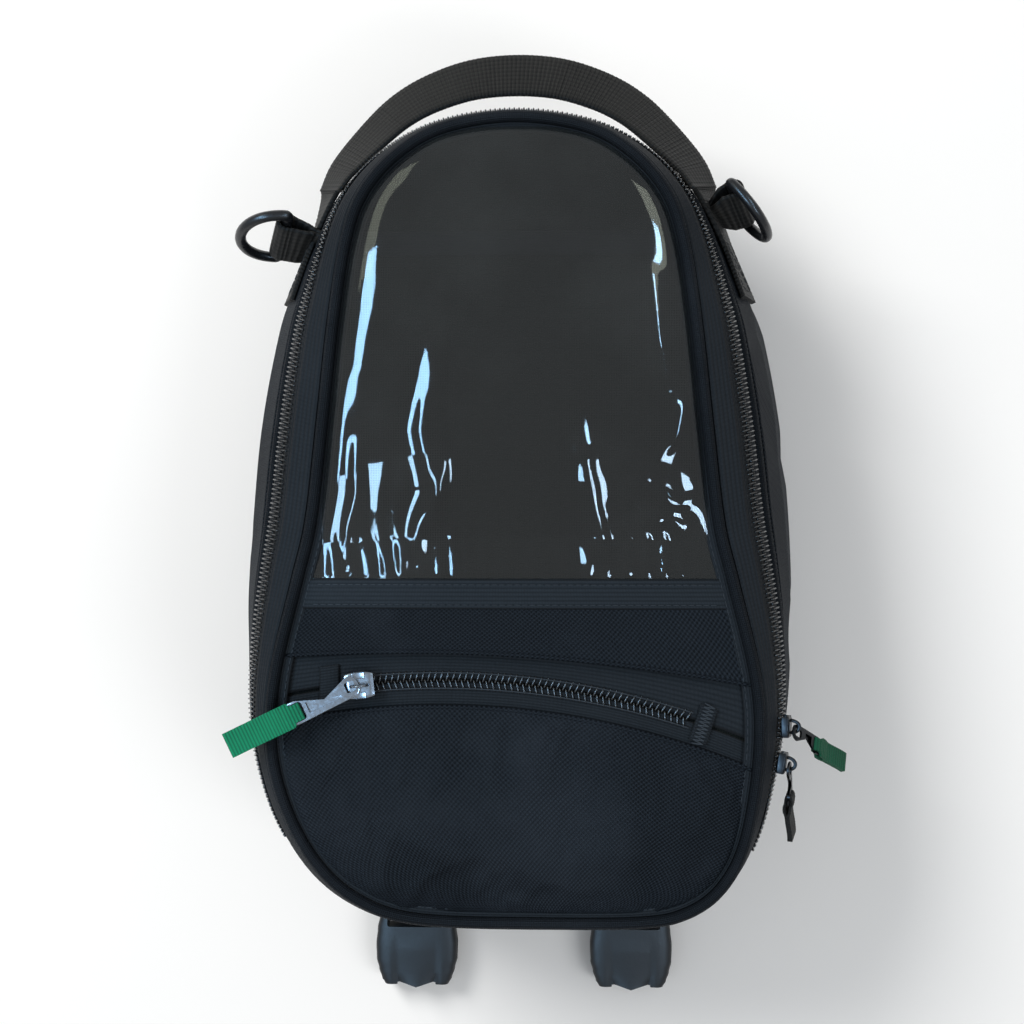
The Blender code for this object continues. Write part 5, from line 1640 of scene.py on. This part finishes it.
def buildSlider(name, node, bodies, middle, travel, up, scale, metal, pull, tailLook):
    frameOf = upright(travel, up)
    lift = frameOf @ Vector((0, 0, 1))
    length, width, height = (sliders[k] * scale for k in ("length", "width", "height"))

    # the crown plate, waisted behind and flared over the teeth in front
    def crown(u, v):
        angle = 2 * math.pi * u
        c, s = math.cos(angle), math.sin(angle)
        flare = 0.80 + 0.20 * math.sin(math.pi * min(max(v * 0.9 + 0.1, 0.0), 1.0)) ** 0.7 + 0.04 * v
        px = width / 2 * flare * math.copysign(abs(c) ** 0.30, c)
        rounding = 0.18 * max(0.0, abs(v - 0.5) * 2 - 0.75) / 0.25
        pz = height * (0.5 - rounding * 0.2) * math.copysign(abs(s) ** 0.35, s)
        return Vector((px, (v - 0.5) * length, height / 2 + pz * (1 - rounding * 0.4)))

    bm = spread(56, 26, crown, (0.03, 0.011))
    bmesh.ops.remove_doubles(bm, verts=bm.verts, dist=1e-7)
    bmesh.ops.holes_fill(bm, edges=[e for e in bm.edges if e.is_boundary], sides=0)
    bmesh.ops.recalc_face_normals(bm, faces=bm.faces)
    body = finishPiece(name, bm, metal, None, [node])
    wall = width * 0.13
    carve(body, [
        roundedBlock((width - 2 * wall, length * 2, height * 0.62), (0, 0, height * 0.22), 0.0002, 1),
        roundedBlock(
            (width * 0.24, length * 0.46, height * 0.5), (-width * 0.36, -length * 0.02, height * 1.12),
            0.0004
        ),
        roundedBlock(
            (width * 0.24, length * 0.46, height * 0.5), (width * 0.36, -length * 0.02, height * 1.12), 0.0004
        ),
    ])
    arch = []
    for i in range(33):
        angle = math.pi * i / 32
        arch.append(Vector((0, -math.cos(angle) * length * sliders["archHalf"], height * 0.72 + math.sin(angle) ** 0.8 * (sliders["archRise"] + height * 0.08))))
    rod = sweep(carried(arch, (1, 0, 0)), strapSection(0.0017 * scale ** 0.5, 0.0011, 4))
    extra = bpy.data.meshes.new("arch")
    rod.to_mesh(extra)
    rod.free()
    whole = bmesh.new()
    whole.from_mesh(body.data)
    whole.from_mesh(extra)
    bmesh.ops.transform(whole, matrix=Matrix.Translation(middle) @ frameOf.to_4x4(), verts=whole.verts)
    whole.to_mesh(body.data)
    whole.free()
    softEdges(body, 0.00022, 2, 40.0)
    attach(body, bodies[0])

    direction, slope, tabLength, tabWidth, strapLength = pull
    legHeight = height + sliders["pullThick"] / 2 + 0.0006 + (sliders["eye"] + sliders["rim"]) * slope
    leg = frameOf @ Vector((0, -length * sliders["archHalf"], legHeight)) + middle
    flat = Vector(direction) - lift * lift.dot(Vector(direction))
    turn = upright(flat.normalized() + lift * slope, lift)
    hole = min(sliders["hole"], tabWidth / 2 - 0.0012)
    far = tabLength - hole - sliders["end"]
    near = sliders["eye"] + sliders["rim"]
    place = Matrix.Translation(leg) @ turn.to_4x4()
    thick = sliders["pullThick"]

    def tab(u, v):  # round the outline, then over from the lower face to the upper one
        angle = 2 * math.pi * u
        c, s = math.cos(angle), math.sin(angle)
        radius, centre = (tabWidth / 2, far) if s >= 0 else (max(near, tabWidth * 0.45), 0.0)
        ring = ((0.0, -0.5), (0.96, -0.5), (1.0, -0.32), (1.0, 0.32), (0.96, 0.5), (0.0, 0.5))[round(v * 5)]
        middleY = far * 0.5
        power = 0.92 if s < 0 else 0.62
        px = radius * math.copysign(abs(c) ** power, c)
        py = centre + min(
            radius, near if s < 0 else hole + sliders["end"]
        ) * math.copysign(abs(s) ** power, s)
        return Vector((px * ring[0], middleY + (py - middleY) * ring[0], ring[1] * thick))

    bm = spread(64, 5, tab, (0.07, 0.02))
    bmesh.ops.remove_doubles(bm, verts=bm.verts, dist=1e-7)
    bmesh.ops.recalc_face_normals(bm, faces=bm.faces)
    piece = finishPiece(f"{name}Pull", bm, metal, None, [f"{node}_pull"])
    drills = []
    drills.append(roundedBlock((tabWidth * 0.46, sliders["eye"] * 2, 0.01), (0, 0, 0), 0.0009, 4))
    drills.append(roundedBlock((tabWidth * 0.80, hole * 1.7, 0.01), (0, far, 0), 0.0014, 4))
    drills.append(roundedBlock((tabWidth * 0.50, max(far - hole - near - 0.0022, 0.001), 0.0006), (0, (far - hole + near) / 2, thick / 2 + 0.00012), 0.00015, 1))
    carve(piece, drills)
    piece.data.transform(place)
    softEdges(piece, 0.00018, 2, 40.0)
    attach(piece, bodies[1])

    # the strap: down through the big eye, both halves sewn flat beyond it
    wide = tabWidth * 1.1
    neck = tabWidth * 0.74
    back = far - hole * 0.25
    edge = far + hole + sliders["end"]
    half = thick / 2 + 0.0007
    strapThick = 0.0009
    side = [
        (edge + strapLength, strapThick * 0.56), (edge + strapLength * 0.5, strapThick * 0.56),
        (edge + 0.0030, strapThick * 0.6), (edge + 0.0004, half), (far + hole * 0.4, half)
    ]
    loop = side + [
        (back, half * 0.7), (back - 0.0004, 0.0), (back, -half * 0.7)
    ] + [(y, -z) for y, z in reversed(side)]
    path = smoothLine(
        [(0, 2 * loop[0][0] - loop[1][0], loop[0][1])] + [(0, y, z) for y, z in loop] + [
            (0, 2 * loop[-1][0] - loop[-2][0], loop[-1][1])
        ],
        8
    )
    path = evenly(path, 190)
    section = strapSection(1.0, strapThick, 10)
    frames = []
    for i, point in enumerate(path):
        along = (path[min(i + 1, 190)] - path[max(i - 1, 0)]).normalized()
        across = Vector((1, 0, 0))
        gather = min(max((point.y - far - hole * 0.55) / 0.0018, 0.0), 1.0)
        gather = gather * gather * (3 - 2 * gather)
        flutter = 0.0005 * math.sin(point.y * 260) * gather
        frames.append((point + Vector((0, 0, flutter)), across * (neck + (wide - neck) * gather), along.cross(across).normalized()))
    bm = ribbed(frames, [(x, y) for x, y in section], 0.0013, 0.00020)
    bmesh.ops.transform(bm, matrix=place, verts=bm.verts)
    finishPiece(f"{name}Strap", bm, tailLook, bodies[1], [f"{node}_strap"])


def buildSliders():
    at, along, out = zipArc(pocket["sliderX"], 0.0, 0.1025)
    buildSlider("pocketSlider", "pocket_slider", ("pocket_slider", "pocket_pull"), at, along, (0, 0, 1), 1.0, "silverMetal",
                ((-0.90, -0.435, 0.0), 0.04, 0.0280, 0.0094, 0.0255), "greenStrap")
    # slider A's pull strap is green webbing darkened as painted shade; slider B's is black webbing
    for letter, y, pull, look, slot in (
        ("A", -0.0820, ((0.80, -0.42, -0.48), 0.50, 0.0165, 0.0072, 0.0146), "greenStrapPaintedShade", "strap_green"),
        ("B", -0.0960, ((0.36, -0.92, -0.30), 0.10, 0.0165, 0.0072, 0.0146), "handleStrap", "strap_black"),
    ):
        z = sliders["mainHeight"]
        here, ahead, _, out = sideFrame(turnAt(y, 1, z), z)
        if ahead.y < 0:
            ahead.negate()
        travel = Vector((0, 1, 0)) if letter == "A" else ahead
        low = letter.lower()
        buildSlider(f"mainSlider{letter}", f"main_slider_{low}", (f"main_slider_{low}", f"main_pull_{low}"), here + out * sliders["mainClear"],
                    travel, out, sliders["mainScale"], "blackMetal", pull, look)


buildSliders()
print("sliders built")
